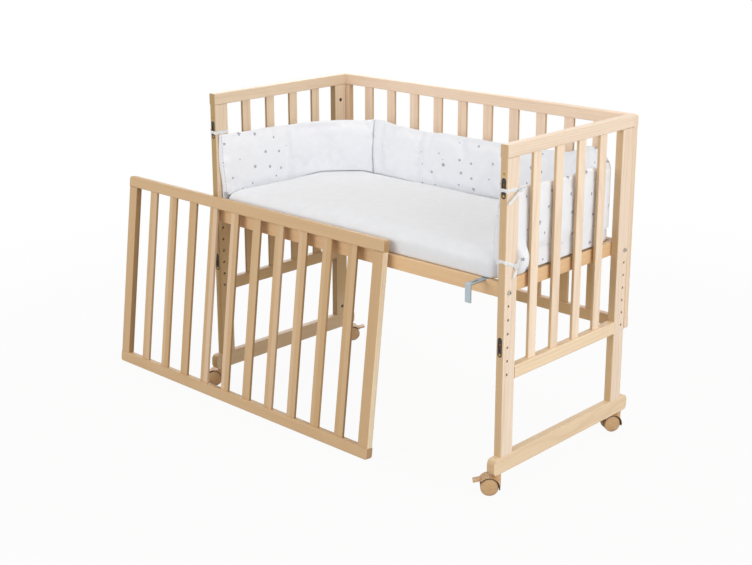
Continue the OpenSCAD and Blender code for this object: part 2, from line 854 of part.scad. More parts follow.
// Castors, drawn with the stem on the Z axis and the wheels towards -Y

wheel_r = wheel_d / 2;
hood_gap = 1.4;
hood_in = wheel_r + hood_gap;
hood_out = hood_in + hood_t;
side_gap_w = 0.5;
wheel_in = web_t / 2 + side_gap_w;
hood_half = wheel_in + wheel_w;
collar_r = 8.5;
collar_t = 2;
boss_top = castor_h - collar_t - near;
boss_r = 9;
axle_boss_r = 8;
stem_low = 24;
axle_in = 8;                            // of the axle inside each wheel
pivot_r = hood_out + 0.4;
pivot_a = 36;
pivot_y = -trail - pivot_r * cos(pivot_a);
pivot_z = wheel_r + pivot_r * sin(pivot_a);
barrel_r = 2.4;
pin_r = 1.2;
ear_in = 8;
ear_w = 3;
pedal_t = 4.4;
pedal_under = 1.8;                      // of a pedal's underside below its hinge pin's middle
pedal_trim = 3;                         // off the two ends of a pedal's round pad
ear_slip = 0.6;                         // from the pedal's barrel to each ear
neck_w = 13.6;                          // of a pedal where it joins its barrel
tread_r = 2;                            // rounding of a wheel's edges
dome_r = 62;                            // of a wheel's outer face

module extrude_x(half) translate([-half, 0, 0]) rotate([90, 0, 90]) linear_extrude(2 * half) children();

module hood_fan(r) {
    // From the pedal's hinge over the top and down past the stem side.
    intersection() {
        translate([-trail, wheel_r]) circle(r, $fn = 72);
        translate([-trail, wheel_r]) polygon([
            [0, 0], [-3 * r * cos(pivot_a), 3 * r * sin(pivot_a)], [-3 * r, 4 * r],
            [4 * r, 4 * r], [4 * r, -r * 0.9]]);
    }
}

module hood() {
    difference() {
        union() {
            extrude_x(web_t / 2) {
                hood_fan(hood_out);
                translate([-trail, wheel_r]) circle(axle_boss_r);
            }
            extrude_x(hood_half) hood_fan(hood_out);
            translate([0, 0, wheel_r - 2]) cylinder(r = boss_r, h = boss_top - wheel_r + 2);
            for (s = [-1, 1])
                translate([s * (ear_in + ear_w / 2) - ear_w / 2, pivot_y, pivot_z])
                    rod_x(barrel_r, ear_w);
        }
        for (s = [0, 1])
            mirror([s, 0, 0])
                translate([web_t / 2, -trail, wheel_r]) rod_x(hood_in, hood_half);
        translate([0, -trail, wheel_r])
            translate([-web_t, 0, 0]) rod_x(axle_d / 2 + fit, 2 * web_t);
        translate([0, 0, stem_low]) cylinder(d = stem_d + 2 * run, h = castor_h);
        translate([-ear_in + 0.3, pivot_y, pivot_z]) {
            rod_x(barrel_r + 0.6, 2 * ear_in - 0.6);
            translate([-hood_half, 0, 0]) rod_x(pin_r + run, 4 * hood_half);
        }
    }
}

module castor_axle() {
    translate([-wheel_in - axle_in, -trail, wheel_r]) rod_x(axle_d / 2, 2 * (wheel_in + axle_in));
}

// Wheel on the +X side, domed outside, with a blind bore from the inside.
module castor_wheel() {
    translate([wheel_in, -trail, wheel_r]) rotate([0, 90, 0]) rotate_extrude($fn = 72)
        difference() {
            intersection() {
                union() {
                    square([wheel_r - tread_r, wheel_w]);
                    translate([0, tread_r]) square([wheel_r, wheel_w - 2 * tread_r]);
                    for (y = [tread_r, wheel_w - tread_r])
                        translate([wheel_r - tread_r, y]) circle(tread_r, $fn = 24);
                }
                translate([0, wheel_w - dome_r]) circle(dome_r, $fn = 180);
            }
            translate([-cut, -cut]) square([axle_d / 2 + run + cut, axle_in + cut + near]);
            translate([-wheel_r, -cut]) square([wheel_r, wheel_w + 2 * cut]);
        }
}

module brake_pedal() {
    translate([0, pivot_y, pivot_z]) {
        translate([-ear_in + ear_slip, 0, 0]) rod_x(barrel_r, 2 * (ear_in - ear_slip));
        translate([-ear_in - ear_w, 0, 0]) rod_x(pin_r, 2 * (ear_in + ear_w));
        rotate([pedal_slope, 0, 0]) {
            translate([-neck_w / 2, -pedal_l / 2, -pedal_under]) cube([neck_w, pedal_l / 2, pedal_t]);
            translate([0, -pedal_l, -pedal_under]) linear_extrude(pedal_t) intersection() {
                translate([0, pedal_l / 2]) square([pedal_w, pedal_l - 2 * pedal_trim], center = true);
                translate([0, pedal_w / 2 + 1]) circle(d = pedal_w + 4);
            }
        }
    }
}

module castor_at(sx, sy, turn)
    translate([sx * post_x, foot_shift + sy * stem_y, 0]) rotate([0, 0, turn + 90]) children();

module front_left() castor_at(-1, -1, turn_front_left) children();
module back_left() castor_at(-1, 1, turn_back_left) children();
module front_right() castor_at(1, -1, turn_front_right) children();
module back_right() castor_at(1, 1, turn_back_right) children();

// A pedal at rest is pressed, apart from the back left one, which is up.
module released()
    translate([0, pivot_y, pivot_z]) rotate([-pedal_lift, 0, 0])
        translate([0, -pivot_y, -pivot_z]) children();

module castor_stems() {
    color(steel) both_ends()
        for (s = [-1, 1])
            translate([post_x, foot_shift + s * stem_y, 0]) {
                translate([0, 0, stem_low + 1])
                    cylinder(d = stem_d, h = castor_h + stem_up - stem_low - 1);
                translate([0, 0, castor_h - collar_t]) cylinder(r = collar_r, h = collar_t);
            }
}

module front_left_hood() color(castor_tan) front_left() hood();
module front_left_axle() color(steel) front_left() castor_axle();
module front_left_inner_wheel() color(castor_tan) front_left() left() castor_wheel();
module front_left_outer_wheel() color(castor_tan) front_left() castor_wheel();
module front_left_brake() color(castor_tan) front_left() brake_pedal();
module back_left_hood() color(castor_tan) back_left() hood();
module back_left_axle() color(steel) back_left() castor_axle();
module back_left_inner_wheel() color(castor_tan) back_left() left() castor_wheel();
module back_left_outer_wheel() color(castor_tan) back_left() castor_wheel();
module back_left_brake() color(castor_tan) back_left() released() brake_pedal();
module front_right_hood() color(castor_tan) front_right() hood();
module front_right_axle() color(steel) front_right() castor_axle();
module front_right_inner_wheel() color(castor_tan) front_right() left() castor_wheel();
module front_right_outer_wheel() color(castor_tan) front_right() castor_wheel();
module front_right_brake() color(castor_tan) front_right() brake_pedal();
module back_right_hood() color(castor_tan) back_right() hood();
module back_right_axle() color(steel) back_right() castor_axle();
module back_right_inner_wheel() color(castor_tan) back_right() left() castor_wheel();
module back_right_outer_wheel() color(castor_tan) back_right() castor_wheel();
module back_right_brake() color(castor_tan) back_right() brake_pedal();

left_front_post();
left_back_post();
left_top_rail();
left_bottom_rail();
left_slats();
left_foot_rail();
right_front_post();
right_back_post();
right_top_rail();
right_bottom_rail();
right_slats();
right_foot_rail();
dowels();
back_top_rail();
back_bottom_rail();
back_stiles();
back_slats();
side_top_rail();
side_bottom_rail();
side_stiles();
side_slats();
side_studs();
base_front_rail();
base_back_rail();
base_end_rails();
base_ledgers();
base_slats();
mattress();
bumper();
bumper_ties();
keyhole_plates();
plate_screws();
base_bolts();
foot_bolts();
panel_bolts();
barrel_nuts();
bed_hook();
hook_screws();
castor_stems();
front_left_hood();
front_left_axle();
front_left_inner_wheel();
front_left_outer_wheel();
front_left_brake();
back_left_hood();
back_left_axle();
back_left_inner_wheel();
back_left_outer_wheel();
back_left_brake();
front_right_hood();
front_right_axle();
front_right_inner_wheel();
front_right_outer_wheel();
front_right_brake();
back_right_hood();
back_right_axle();
back_right_inner_wheel();
back_right_outer_wheel();
back_right_brake();
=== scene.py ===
import math
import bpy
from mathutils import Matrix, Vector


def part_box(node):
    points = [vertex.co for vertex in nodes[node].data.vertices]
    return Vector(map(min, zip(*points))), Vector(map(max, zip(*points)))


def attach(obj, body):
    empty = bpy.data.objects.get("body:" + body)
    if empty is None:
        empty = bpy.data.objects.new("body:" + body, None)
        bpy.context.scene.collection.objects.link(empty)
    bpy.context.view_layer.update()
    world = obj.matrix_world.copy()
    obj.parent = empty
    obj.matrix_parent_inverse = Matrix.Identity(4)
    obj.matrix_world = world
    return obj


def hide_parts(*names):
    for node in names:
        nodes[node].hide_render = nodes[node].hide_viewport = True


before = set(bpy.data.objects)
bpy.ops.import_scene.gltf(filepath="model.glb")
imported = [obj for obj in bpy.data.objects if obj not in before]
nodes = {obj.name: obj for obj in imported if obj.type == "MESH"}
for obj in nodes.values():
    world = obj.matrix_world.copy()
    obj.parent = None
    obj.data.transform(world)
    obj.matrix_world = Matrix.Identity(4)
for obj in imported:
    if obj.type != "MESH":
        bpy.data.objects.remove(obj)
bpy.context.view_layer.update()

from types import SimpleNamespace

import bpy
import numpy as np
from mathutils import Vector
from mathutils.bvhtree import BVHTree

scene = bpy.context.scene


# Shader wires

class Wire:
    """A value in one node tree, on which + - * / ** and comparisons add Math nodes."""

    def __init__(self, shade, socket):
        self.shade, self.socket = shade, socket

    def math(self, operation, *values):
        return self.shade.node("ShaderNodeMath", {"operation": operation}, dict(enumerate(values)))

    def __add__(self, other):
        return self.math("ADD", self, other)

    __radd__ = __add__

    def __sub__(self, other):
        return self.math("SUBTRACT", self, other)

    def __rsub__(self, other):
        return self.math("SUBTRACT", other, self)

    def __mul__(self, other):
        return self.math("MULTIPLY", self, other)

    __rmul__ = __mul__

    def __truediv__(self, other):
        return self.math("DIVIDE", self, other)

    def __rtruediv__(self, other):
        return self.math("DIVIDE", other, self)

    def __pow__(self, other):
        return self.math("POWER", self, other)

    def __lt__(self, other):
        return self.math("LESS_THAN", self, other)

    def __gt__(self, other):
        return self.math("GREATER_THAN", self, other)

    def __abs__(self):
        return self.math("ABSOLUTE", self)

    def sine(self):
        return self.math("SINE", self)

    def floor(self):
        return self.math("FLOOR", self)

    def larger(self, other):
        return self.math("MAXIMUM", self, other)

    def ramp(self, low, high, to_low=0.0, to_high=1.0):
        """This value mapped smoothly from low..high to to_low..to_high."""
        return self.shade.node("ShaderNodeMapRange", {"interpolation_type": "SMOOTHSTEP"},
                               {"Value": self, "From Min": low, "From Max": high,
                                "To Min": to_low, "To Max": to_high})


class Finish:
    """The node tree of one material, or of the studio's world."""

    def __init__(self, owner):
        owner.use_nodes = True
        self.owner, self.tree = owner, owner.node_tree
        self.tree.nodes.clear()

    def node(self, kind, settings=None, inputs=None, out=0):
        made = self.tree.nodes.new(kind)
        for key, value in (settings or {}).items():
            if key == "stops":
                ramp = made.color_ramp
                while len(ramp.elements) < len(value):
                    ramp.elements.new(0.5)
                for element, (place, colour) in zip(ramp.elements, value):
                    element.position, element.color = place, colour
            else:
                setattr(made, key, value)
        for key, value in (inputs or {}).items():
            if isinstance(value, Wire):
                self.tree.links.new(value.socket, made.inputs[key])
            else:
                made.inputs[key].default_value = value
        return Wire(self, made.outputs[out])

    def place(self):
        return self.node("ShaderNodeTexCoord", out="Object")

    def facing(self):
        return self.node("ShaderNodeTexCoord", out="Normal")

    def ray(self, kind):
        return self.node("ShaderNodeLightPath", out=f"Is {kind} Ray")

    def axes(self, vector):
        split = self.node("ShaderNodeSeparateXYZ", inputs={0: vector}).socket.node
        return [Wire(self, split.outputs[i]) for i in range(3)]

    def vector(self, x, y, z):
        return self.node("ShaderNodeCombineXYZ", inputs={0: x, 1: y, 2: z})

    def stretched(self, vector, scale):
        return self.node("ShaderNodeVectorMath", {"operation": "MULTIPLY"}, {0: vector, 1: scale})

    def noise(self, vector, scale, detail):
        return self.node("ShaderNodeTexNoise", {"noise_dimensions": "3D"},
                         {"Vector": vector, "Scale": scale, "Detail": detail, "Roughness": 0.5})

    def mix(self, factor, low, high):
        """Colour from low to high by factor."""
        return self.node("ShaderNodeMix", {"data_type": "RGBA"},
                         {0: factor, 6: low, 7: high}, out=2)

    def bump(self, height, depth, strength, over=None):
        inputs = {"Height": height, "Distance": depth, "Strength": strength}
        if over is not None:
            inputs["Normal"] = over
        return self.node("ShaderNodeBump", {}, inputs)

    def coat(self, base, rough, normal, **fixed):
        """The surface itself; fixed values go straight on the shader's own sockets."""
        inputs = {"Base Color": base, "Roughness": rough, "Normal": normal}
        for key, value in fixed.items():
            inputs[key.replace("_", " ").title().replace("Ior", "IOR")] = value
        return self.end(self.node("ShaderNodeBsdfPrincipled", {}, inputs))

    def end(self, shader, kind="ShaderNodeOutputMaterial"):
        last = self.tree.nodes.new(kind)
        self.tree.links.new(shader.socket, last.inputs["Surface"])
        return self.owner


def new_finish(name):
    return Finish(bpy.data.materials.new(name))


def colour(red, green, blue):
    """A colour written as the photograph's 0 to 255 values."""
    def linear(v):
        v = v / 255
        return v / 12.92 if v <= 0.04045 else ((v + 0.055) / 1.055) ** 2.4
    return (linear(red), linear(green), linear(blue), 1.0)


# Pine

# For each panel: the faces' colour, then the edges' axis and colour. A third entry gives the
# place beyond which the edge is a free one, and its colour.
# These tones are painted light and shade: the right end is lighter where it is lit, and the left
# end and leaning side panel are darker where they are shaded. The edge tones set faces apart by
# which way they look, darker as painted shade and lighter as painted light, and a free edge's
# lighter tone is painted light.
RIGHT_EDGE_SHADE = ("y", colour(211, 181, 140))
RIGHT_PINE = colour(244, 224, 202), RIGHT_EDGE_SHADE
RIGHT_SLAT_PINE = colour(252, 232, 208), RIGHT_EDGE_SHADE
RIGHT_LOW_PINE = colour(244, 220, 186), RIGHT_EDGE_SHADE
RIGHT_FOOT_PINE = colour(237, 212, 177), RIGHT_EDGE_SHADE
LEFT_PINE = colour(230, 208, 181), ("y", colour(178, 150, 101))
LEFT_SLAT_PINE = colour(230, 207, 178), ("y", colour(156, 126, 84))
BACK_PINE = colour(246, 221, 196), ("x", colour(212, 178, 138)), (0.46, colour(240, 217, 191))
SIDE_PINE = colour(211, 179, 137), ("x", colour(184, 148, 106))
SIDE_SLAT_PINE = colour(211, 179, 137), ("x", colour(148, 116, 76))
SIDE_STILE_PINE = (colour(207, 174, 131), ("x", colour(148, 116, 76)),
                   (0.13, colour(252, 235, 204)))
BASE_PINE = colour(234, 196, 150), ("z", colour(236, 203, 162))
DARK_GRAIN = colour(192, 150, 104)
UNDER_BED_SHADE = colour(209, 176, 124)
PALE_SLAT, TANNED_SLAT = colour(228, 200, 170), colour(198, 160, 112)

# Marks along the grain: how fine across it, how slow along it, step from board to board, detail.
FIBRE, STREAK, CLOUD = (900.0, 26.0, 50.0, 2.0), (130.0, 3.2, 31.0, 3.0), (6.0, 1.6, 9.0, 2.0)
FIBRE_DARK, STREAK_DARK, CLOUD_DARK, RING_DARK, BOARD_DARK = 0.10, 0.17, 0.10, 0.12, 0.12
# Place of the pith beside the board, and radians of ring a metre: one ring each 5 mm.
PITH_ACROSS, PITH_DEEP, RINGS = 0.055, 0.02, 1250.0
# Share of its normal along an axis between which a face starts to count as that axis's own.
TURNED = (0.5, 0.85)
# The painted shade under the bed, a browner tone: the heights between which it sets in, and then
# those between which it weakens near the floor, with its strength below and above them.
UNDER_SHADE_FROM, UNDER_SHADE_FOOT = (0.50, 0.42), (0.12, 0.18, 0.5, 0.9)


def pine(name, along, seed, tones, tone=0.0, slat_pitch=None, lean=0.0, inward=None):
    """Lacquered pine whose grain runs along x, y or z; slats differ by their place across.

    The boards' edges take a darker tone than their faces, painted shade by which way a face looks,
    and a free edge takes a lighter one, painted light.
    The faces that look inward, (1, 0) for +x or (0, -1) for -y, are browner under the bed, as
    painted shade."""
    f = new_finish(name)
    place = f.place()
    if lean:
        place = f.node("ShaderNodeMapping", {"vector_type": "POINT"},
                       {"Vector": place, "Rotation": (math.radians(lean), 0.0, 0.0)})
    x, y, z = f.axes(place)
    length, across, deep = {"x": (x, y, z), "y": (y, x, z), "z": (z, x, y)}[along]
    board = 0.0
    if slat_pitch:
        axis, pitch, start = slat_pitch
        number = (({"x": x, "y": y}[axis] - start) / pitch).floor()
        board = f.node("ShaderNodeTexWhiteNoise", {"noise_dimensions": "1D"},
                       {"W": number + seed * 7.31})

    def marks(fine, slow, step, detail, shift=0.0):
        way = f.vector(across * fine, deep * fine, length * slow + board * step + shift)
        return f.noise(way, 1.0, detail)

    line = f.vector(across + seed * 0.61, deep + seed * 0.37, length * 0.055 + board * 3.0 + seed)
    sway = f.noise(line, 9.0, 2.0)
    wander = f.noise(f.vector(across * 0.3, deep * 0.3, length * 0.5 + seed), 4.0, 3.0)
    off_pith = ((across + PITH_ACROSS + wander * 0.03) ** 2.0
                + (deep + PITH_DEEP + wander * 0.012) ** 2.0)
    ring = (off_pith ** 0.5 * RINGS + sway * 9.0 + board * 40.0).sine() * 0.5 + 0.5
    fibre, streak, cloud = marks(*FIBRE), marks(*STREAK, seed), marks(*CLOUD, seed * 2.0)
    face, (edge_axis, edge), *free = tones
    normal = dict(zip("xyz", f.axes(f.facing())))
    # A free edge's lighter tone is painted light; the darker edge tones below are painted shade by
    # which way a face looks.
    for edge_from, free_edge_light in free:
        edge = f.mix(x > edge_from, edge, free_edge_light)
    base = f.mix(abs(normal[edge_axis]).ramp(*TURNED), face, edge)
    grain = cloud.ramp(0.3, 0.7) * CLOUD_DARK + ring ** 3.0 * RING_DARK
    base = f.mix(grain + streak.ramp(0.45, 0.75) * STREAK_DARK, base, DARK_GRAIN)
    # Painted shade: faces that look in under the bed turn browner.
    if inward:
        looks_in = (normal["x"] * inward[0] + normal["y"] * inward[1]).ramp(*TURNED)
        base = f.mix(looks_in * (z.ramp(*UNDER_SHADE_FROM) * z.ramp(*UNDER_SHADE_FOOT)), base, UNDER_BED_SHADE)
    if slat_pitch:
        base = f.mix(board * BOARD_DARK, base, DARK_GRAIN)
    if slat_pitch and lean and not free:
        base = f.mix(board.ramp(0.45, 1.0) * 0.75, base, PALE_SLAT)
        base = f.mix(board.ramp(0.45, 0.0) * 0.6, base, TANNED_SLAT)
    if tone:
        base = f.mix(tone, base, DARK_GRAIN)
    base = f.mix(fibre.ramp(0.35, 0.75) * FIBRE_DARK, base, DARK_GRAIN)
    relief = f.bump(fibre * 0.6 + ring * 0.4, 0.00018, 0.55)
    return f.coat(base, streak * 0.14 + 0.38, relief, coat_weight=0.1, coat_roughness=0.25,
                  specular_ior_level=0.35)


# Fabrics

def mattress_cover():
    """White knitted cover: fine ribs, small loops and a little shade between them."""
    f = new_finish("white_jersey")
    place = f.place()
    x, y, z = f.axes(place)
    loops = (x * 3300.0).sine() * (y * 2900.0 + z * 2900.0).sine()
    soft = f.noise(place, 45.0, 3.0)
    fluff = f.noise(place, 900.0, 2.0)
    base = f.mix(soft.ramp(0.3, 0.7), colour(235, 236, 238), colour(232, 233, 235))
    base = f.mix(fluff * 0.12, base, colour(220, 221, 223))
    relief = f.bump(loops * 0.35 + fluff * 0.5, 0.0005, 0.5)
    relief = f.bump(soft, 0.0010, 0.4, relief)
    return f.coat(base, fluff * 0.1 + 0.82, relief, sheen_weight=0.25, sheen_roughness=0.5,
                  specular_ior_level=0.25)


def star(u, v, size):
    """Mask of a five-pointed star of that radius round 0, 0."""
    turn = u.math("ARCTAN2", u, v)
    point = u.math("PINGPONG", turn, math.pi / 5)
    reach = (u * u + v * v) ** 0.5
    edge = size * (0.42 + 0.58 * (point / (math.pi / 5)) ** 1.5)
    return (reach - edge).ramp(0.0004, -0.0004)


# Size of the print's cells; a cell's draw from which it holds a star, or else a dot; and the
# stitches' distance from the band's ends.
PRINT_CELL = 0.043
STARS_FROM, DOTS_FROM = 0.42, 0.12
STITCH_IN = 0.0045


def bumper_cotton():
    """White cotton with a fine plain weave, a sparse print of small grey stars and dots, and a
    stitched line at each end of the band."""
    f = new_finish("printed_cotton")
    along, up, _ = f.axes(f.node("ShaderNodeUVMap", {"uv_map": "band"}))
    weave = (along * 5200.0).sine() * (up * 5200.0).sine()
    crumple = f.noise(f.place(), 60.0, 3.0)
    fluff = f.noise(f.place(), 1400.0, 2.0)
    cells = 1 / PRINT_CELL
    spread = f.vector(along * cells, up * cells, 0.0)
    point, chance = (f.node("ShaderNodeTexVoronoi", {"voronoi_dimensions": "2D", "feature": "F1"},
                            {"Vector": spread, "Scale": 1.0, "Randomness": 0.72}, out=out)
                     for out in ("Position", "Color"))
    near = f.node("ShaderNodeVectorMath", {"operation": "SUBTRACT"}, {0: spread, 1: point})
    spin, big, kind = f.axes(chance)
    turned = f.node("ShaderNodeVectorRotate", {"rotation_type": "Z_AXIS"},
                    {"Vector": near, "Angle": spin * 6.28})
    u, v, _ = f.axes(turned)
    u, v = u / cells, v / cells
    stars = star(u, v, big * 0.0028 + 0.0042) * (kind > STARS_FROM)
    reach = (u * u + v * v) ** 0.5
    dots = (reach - (big * 0.0012 + 0.0014)).ramp(0.0003, -0.0003)
    dots = dots * (kind < STARS_FROM) * (kind > DOTS_FROM)
    printed = (along < PRINT_ENDS).larger(along > PRINT_STARTS)
    base = f.mix(crumple.ramp(0.3, 0.7), colour(243, 244, 247), colour(240, 241, 245))
    base = f.mix(fluff * 0.1, base, colour(214, 216, 224))
    base = f.mix(stars.larger(dots) * printed * 0.88, base, colour(148, 151, 161))
    right_stitch, left_stitch = (abs(along - place).ramp(0.0013, 0.0006)
                                 for place in (BAND_END - STITCH_IN, STITCH_IN))
    gather = f.noise(f.vector(0.0, up * 260.0, 0.0), 1.0, 1.0)
    sewn = right_stitch.larger(left_stitch) * gather.ramp(0.42, 0.52)
    base = f.mix(sewn * 0.8, base, colour(178, 184, 198))
    relief = f.bump(weave * 0.3 + fluff * 0.6, 0.00035, 0.5)
    relief = f.bump(crumple, 0.0009, 0.4, relief)
    return f.coat(base, fluff * 0.08 + 0.8, relief, sheen_weight=0.3, sheen_roughness=0.5,
                  specular_ior_level=0.25)


def ribbon_satin():
    """White ribbon with fine slanting ribs."""
    f = new_finish("white_ribbon")
    x, y, z = f.axes(f.place())
    ribs = ((x + y + z * 1.7) * 5000.0).sine()
    soft = f.noise(f.place(), 300.0, 2.0)
    base = f.mix(soft, colour(244, 244, 244), colour(226, 226, 228))
    return f.coat(base, soft * 0.15 + 0.5, f.bump(ribs * 0.5 + soft, 0.0002, 0.6),
                  sheen_weight=0.4, specular_ior_level=0.35)


# Metals and plastic

# Fineness of the drawn lines, along them and across.
DRAWN_ALONG, DRAWN_ACROSS = 30.0, 1500.0


def metal(name, tint, rough, streak_axis="z"):
    """Plated or bare metal with fine drawn lines and dull patches."""
    f = new_finish(name)
    place = f.place()
    drawn = tuple(DRAWN_ALONG if axis == streak_axis else DRAWN_ACROSS for axis in "xyz")
    lines = f.noise(f.stretched(place, drawn), 1.0, 2.0)
    patch = f.noise(place, 180.0, 3.0)
    dull = tuple(c * 0.72 for c in tint[:3]) + (1.0,)
    base = f.mix(patch.ramp(0.4, 0.75) * 0.25 + lines * 0.12, tint, dull)
    return f.coat(base, patch * 0.16 + lines * 0.08 + rough, f.bump(lines, 0.00006, 0.5),
                  metallic=1.0)


def black_plate():
    """Black coated steel that has rubbed a little on its high spots."""
    f = new_finish("black_coated_steel")
    place = f.place()
    grain = f.noise(place, 1600.0, 2.0)
    rub = f.noise(place, 160.0, 3.0)
    base = f.mix(rub.ramp(0.62, 0.8) * 0.35, colour(34, 33, 34), colour(96, 94, 92))
    return f.coat(base, grain * 0.2 + 0.34, f.bump(grain, 0.00005, 0.6), specular_ior_level=0.5)


# The second colour is painted shade inside the hood's arch, and dirt with painted shade on the
# wheels' treads.
SCUFF, DUST_AND_SHADE = colour(120, 96, 66), colour(34, 21, 11)


def castor_plastic(name, tint, shade, rough, corner, dirt_and_shade):
    """Moulded beige plastic: faint flow marks, a fine spark texture and scuffs on the low parts.

    The last argument gives two distances from the wheels' axle at that corner and a share: between
    those distances the plastic darkens, as painted shade inside the hood's arch and as dirt with
    painted shade on the treads."""
    f = new_finish(f"{name}_{corner}")
    place = f.place()
    x, y, z = f.axes(place)
    flow = f.noise(f.stretched(place, (40.0, 40.0, 110.0)), 1.0, 3.0)
    spark = f.noise(place, 2600.0, 2.0)
    scuff = f.noise(place, 420.0, 4.0)
    base = f.mix(flow.ramp(0.35, 0.7) * 0.6, tint, shade)
    base = f.mix(z.ramp(0.007, 0.0) * scuff.ramp(0.4, 0.65) * 0.5, base, SCUFF)
    inner, outer = (sum((Vector(end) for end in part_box(f"{corner}_{side}_wheel")), Vector()) / 2
                    for side in ("inner", "outer"))
    middle, line = (inner + outer) / 2, (outer - inner).normalized()
    x, y, z = (a - b for a, b in zip((x, y, z), middle))
    beside = x * line.x + y * line.y
    reach = (x * x + y * y + z * z - beside * beside) ** 0.5
    fade_from, fade_to, share = dirt_and_shade
    # Painted shade in the hood's arch; dirt and painted shade on the treads.
    dust_and_shade = reach.ramp(fade_from, fade_to) * share
    base = f.mix(dust_and_shade * (scuff * 0.3 + 0.75), base, DUST_AND_SHADE)
    return f.coat(base, scuff * 0.14 + rough + dust_and_shade * 0.4, f.bump(spark, 0.00008, 0.5),
                  coat_weight=0.05, coat_roughness=0.4, specular_ior_level=0.35)


def dress(name, finish):
    part = nodes[name]
    part.data.materials.clear()
    part.data.materials.append(finish)


# Tools for meshes

def only(part):
    """Makes the piece the only selected one, as the operators need it."""
    bpy.ops.object.select_all(action="DESELECT")
    part.hide_set(False)
    part.select_set(True)
    bpy.context.view_layer.objects.active = part


def edit(part, operator, **options):
    """Runs a mesh operator on the whole piece."""
    only(part)
    bpy.ops.object.mode_set(mode="EDIT")
    bpy.ops.mesh.select_all(action="SELECT")
    operator(**options)
    bpy.ops.object.mode_set(mode="OBJECT")


def apply_modifiers(part):
    only(part)
    for modifier in list(part.modifiers):
        bpy.ops.object.modifier_apply(modifier=modifier.name)


def add_rounding(part):
    divide = part.modifiers.new("smooth", "SUBSURF")
    divide.levels = divide.render_levels = 1
    return divide


def smooth(part, degrees):
    only(part)
    bpy.ops.object.shade_smooth_by_angle(angle=math.radians(degrees))


def points_of(part):
    found = np.empty(len(part.data.vertices) * 3)
    part.data.vertices.foreach_get("co", found)
    return found.reshape(-1, 3)


def move_points(part, points):
    part.data.vertices.foreach_set("co", np.asarray(points, float).ravel())
    part.data.update()


def swell(part, frames, pressure, cap, stiffness, grow, held=None):
    """Fills the piece like a cushion by cloth simulation, with no point moved further than cap.

    Returns the points as they were before."""
    before = points_of(part)
    only(part)
    cloth = part.modifiers.new("filling", "CLOTH")
    settings = cloth.settings
    settings.quality = 6
    settings.mass = 0.25
    settings.tension_stiffness = stiffness
    settings.compression_stiffness = stiffness
    settings.shear_stiffness = stiffness * 0.5
    settings.bending_stiffness = 0.4
    settings.use_pressure = True
    settings.uniform_pressure_force = pressure
    settings.shrink_min = -grow
    settings.effector_weights.gravity = 0
    if held:
        settings.vertex_group_mass = held
        settings.pin_stiffness = 1.0
    cloth.collision_settings.use_collision = False
    cloth.point_cache.frame_start = 1
    cloth.point_cache.frame_end = frames
    for number in range(1, frames + 1):
        scene.frame_set(number)
    bpy.ops.object.modifier_apply(modifier=cloth.name)
    scene.frame_set(1)
    after = points_of(part)
    shift = after - before
    far = np.linalg.norm(shift, axis=1, keepdims=True)
    after = before + shift * np.minimum(1, cap / np.maximum(far, 1e-9))
    move_points(part, after)
    return before


def ease(value, low, high):
    """0 below low and 1 above high, with a smooth way between."""
    t = np.clip((value - low) / (high - low), 0, 1)
    return t * t * (3 - 2 * t)


# Mattress

MATTRESS_LOW, MATTRESS_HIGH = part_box("mattress")
MATTRESS_VOXEL = 0.0075
# The cover starts this much smaller than the solid, and the filling swells it back.
MATTRESS_START = np.array((0.9965, 0.9935, 0.955))
# Height over which the lower edge is pressed down, and how sharply it turns.
SETTLED, SETTLE_POWER = 0.020, 2.3
# The seams' distance from the underside and from the top, and their width and depth.
LOWER_SEAM, UPPER_SEAM, SEAM_WIDE, SEAM_DEEP = 0.004, 0.0115, 0.0016, 0.0009
# How far the fabric may stand out beyond the solid.
FABRIC_OVER = 0.001


def make_mattress():
    """Foam mattress in a knitted cover, with a sewn seam round its upper and lower edge."""
    only(nodes["mattress"])
    bpy.ops.object.duplicate()
    pad = bpy.context.active_object
    pad.name = "padded_mattress"
    edit(pad, bpy.ops.mesh.remove_doubles, threshold=0.00001)
    remesh = pad.modifiers.new("cover", "REMESH")
    remesh.mode = "VOXEL"
    remesh.voxel_size = MATTRESS_VOXEL
    apply_modifiers(pad)
    low, high = np.array(MATTRESS_LOW), np.array(MATTRESS_HIGH)
    middle = (low + high) / 2
    move_points(pad, middle + (points_of(pad) - middle) * MATTRESS_START)
    swell(pad, frames=18, pressure=4.0, cap=0.005, stiffness=14.0, grow=0.006)
    add_rounding(pad)
    apply_modifiers(pad)
    points = points_of(pad)
    x, y, z = points.T
    edge = np.minimum(np.minimum(x - low[0], high[0] - x), np.minimum(y - low[1], high[1] - y))
    wave = np.sin(x * 23.0 + 1.3 * np.sin(y * 17.0)) * np.sin(y * 21.0 + 0.8)
    z += np.where(z > middle[2], 0.0007 * wave * np.clip(edge / 0.03, 0, 1), 0)
    # It lies heavily on its slats, with a tight turn at its lower edge.
    height = np.clip((z - low[2]) / SETTLED, 0, 1)
    z -= SETTLED * (height - height ** SETTLE_POWER)
    for seam in (low[2] + LOWER_SEAM, high[2] - UPPER_SEAM):
        near = np.exp(-((z - seam) / SEAM_WIDE) ** 2) * np.exp(-(np.clip(edge, 0, 1) / 0.006) ** 2)
        toward = middle[:2] - points[:, :2]
        toward /= np.maximum(np.linalg.norm(toward, axis=1, keepdims=True), 1e-9)
        points[:, :2] += toward * (near * SEAM_DEEP)[:, None]
    points = np.clip(points, low - (0, FABRIC_OVER, 0), high + (0, FABRIC_OVER, FABRIC_OVER))
    move_points(pad, points)
    smooth(pad, 180)
    pad.data.materials.clear()
    pad.data.materials.append(mattress_cover())
    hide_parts("mattress")
    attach(pad, "frame")
    return pad


# Bumper: a padded band, a U seen from above. Its stations are measured along its wall side,
# from the left end's front.

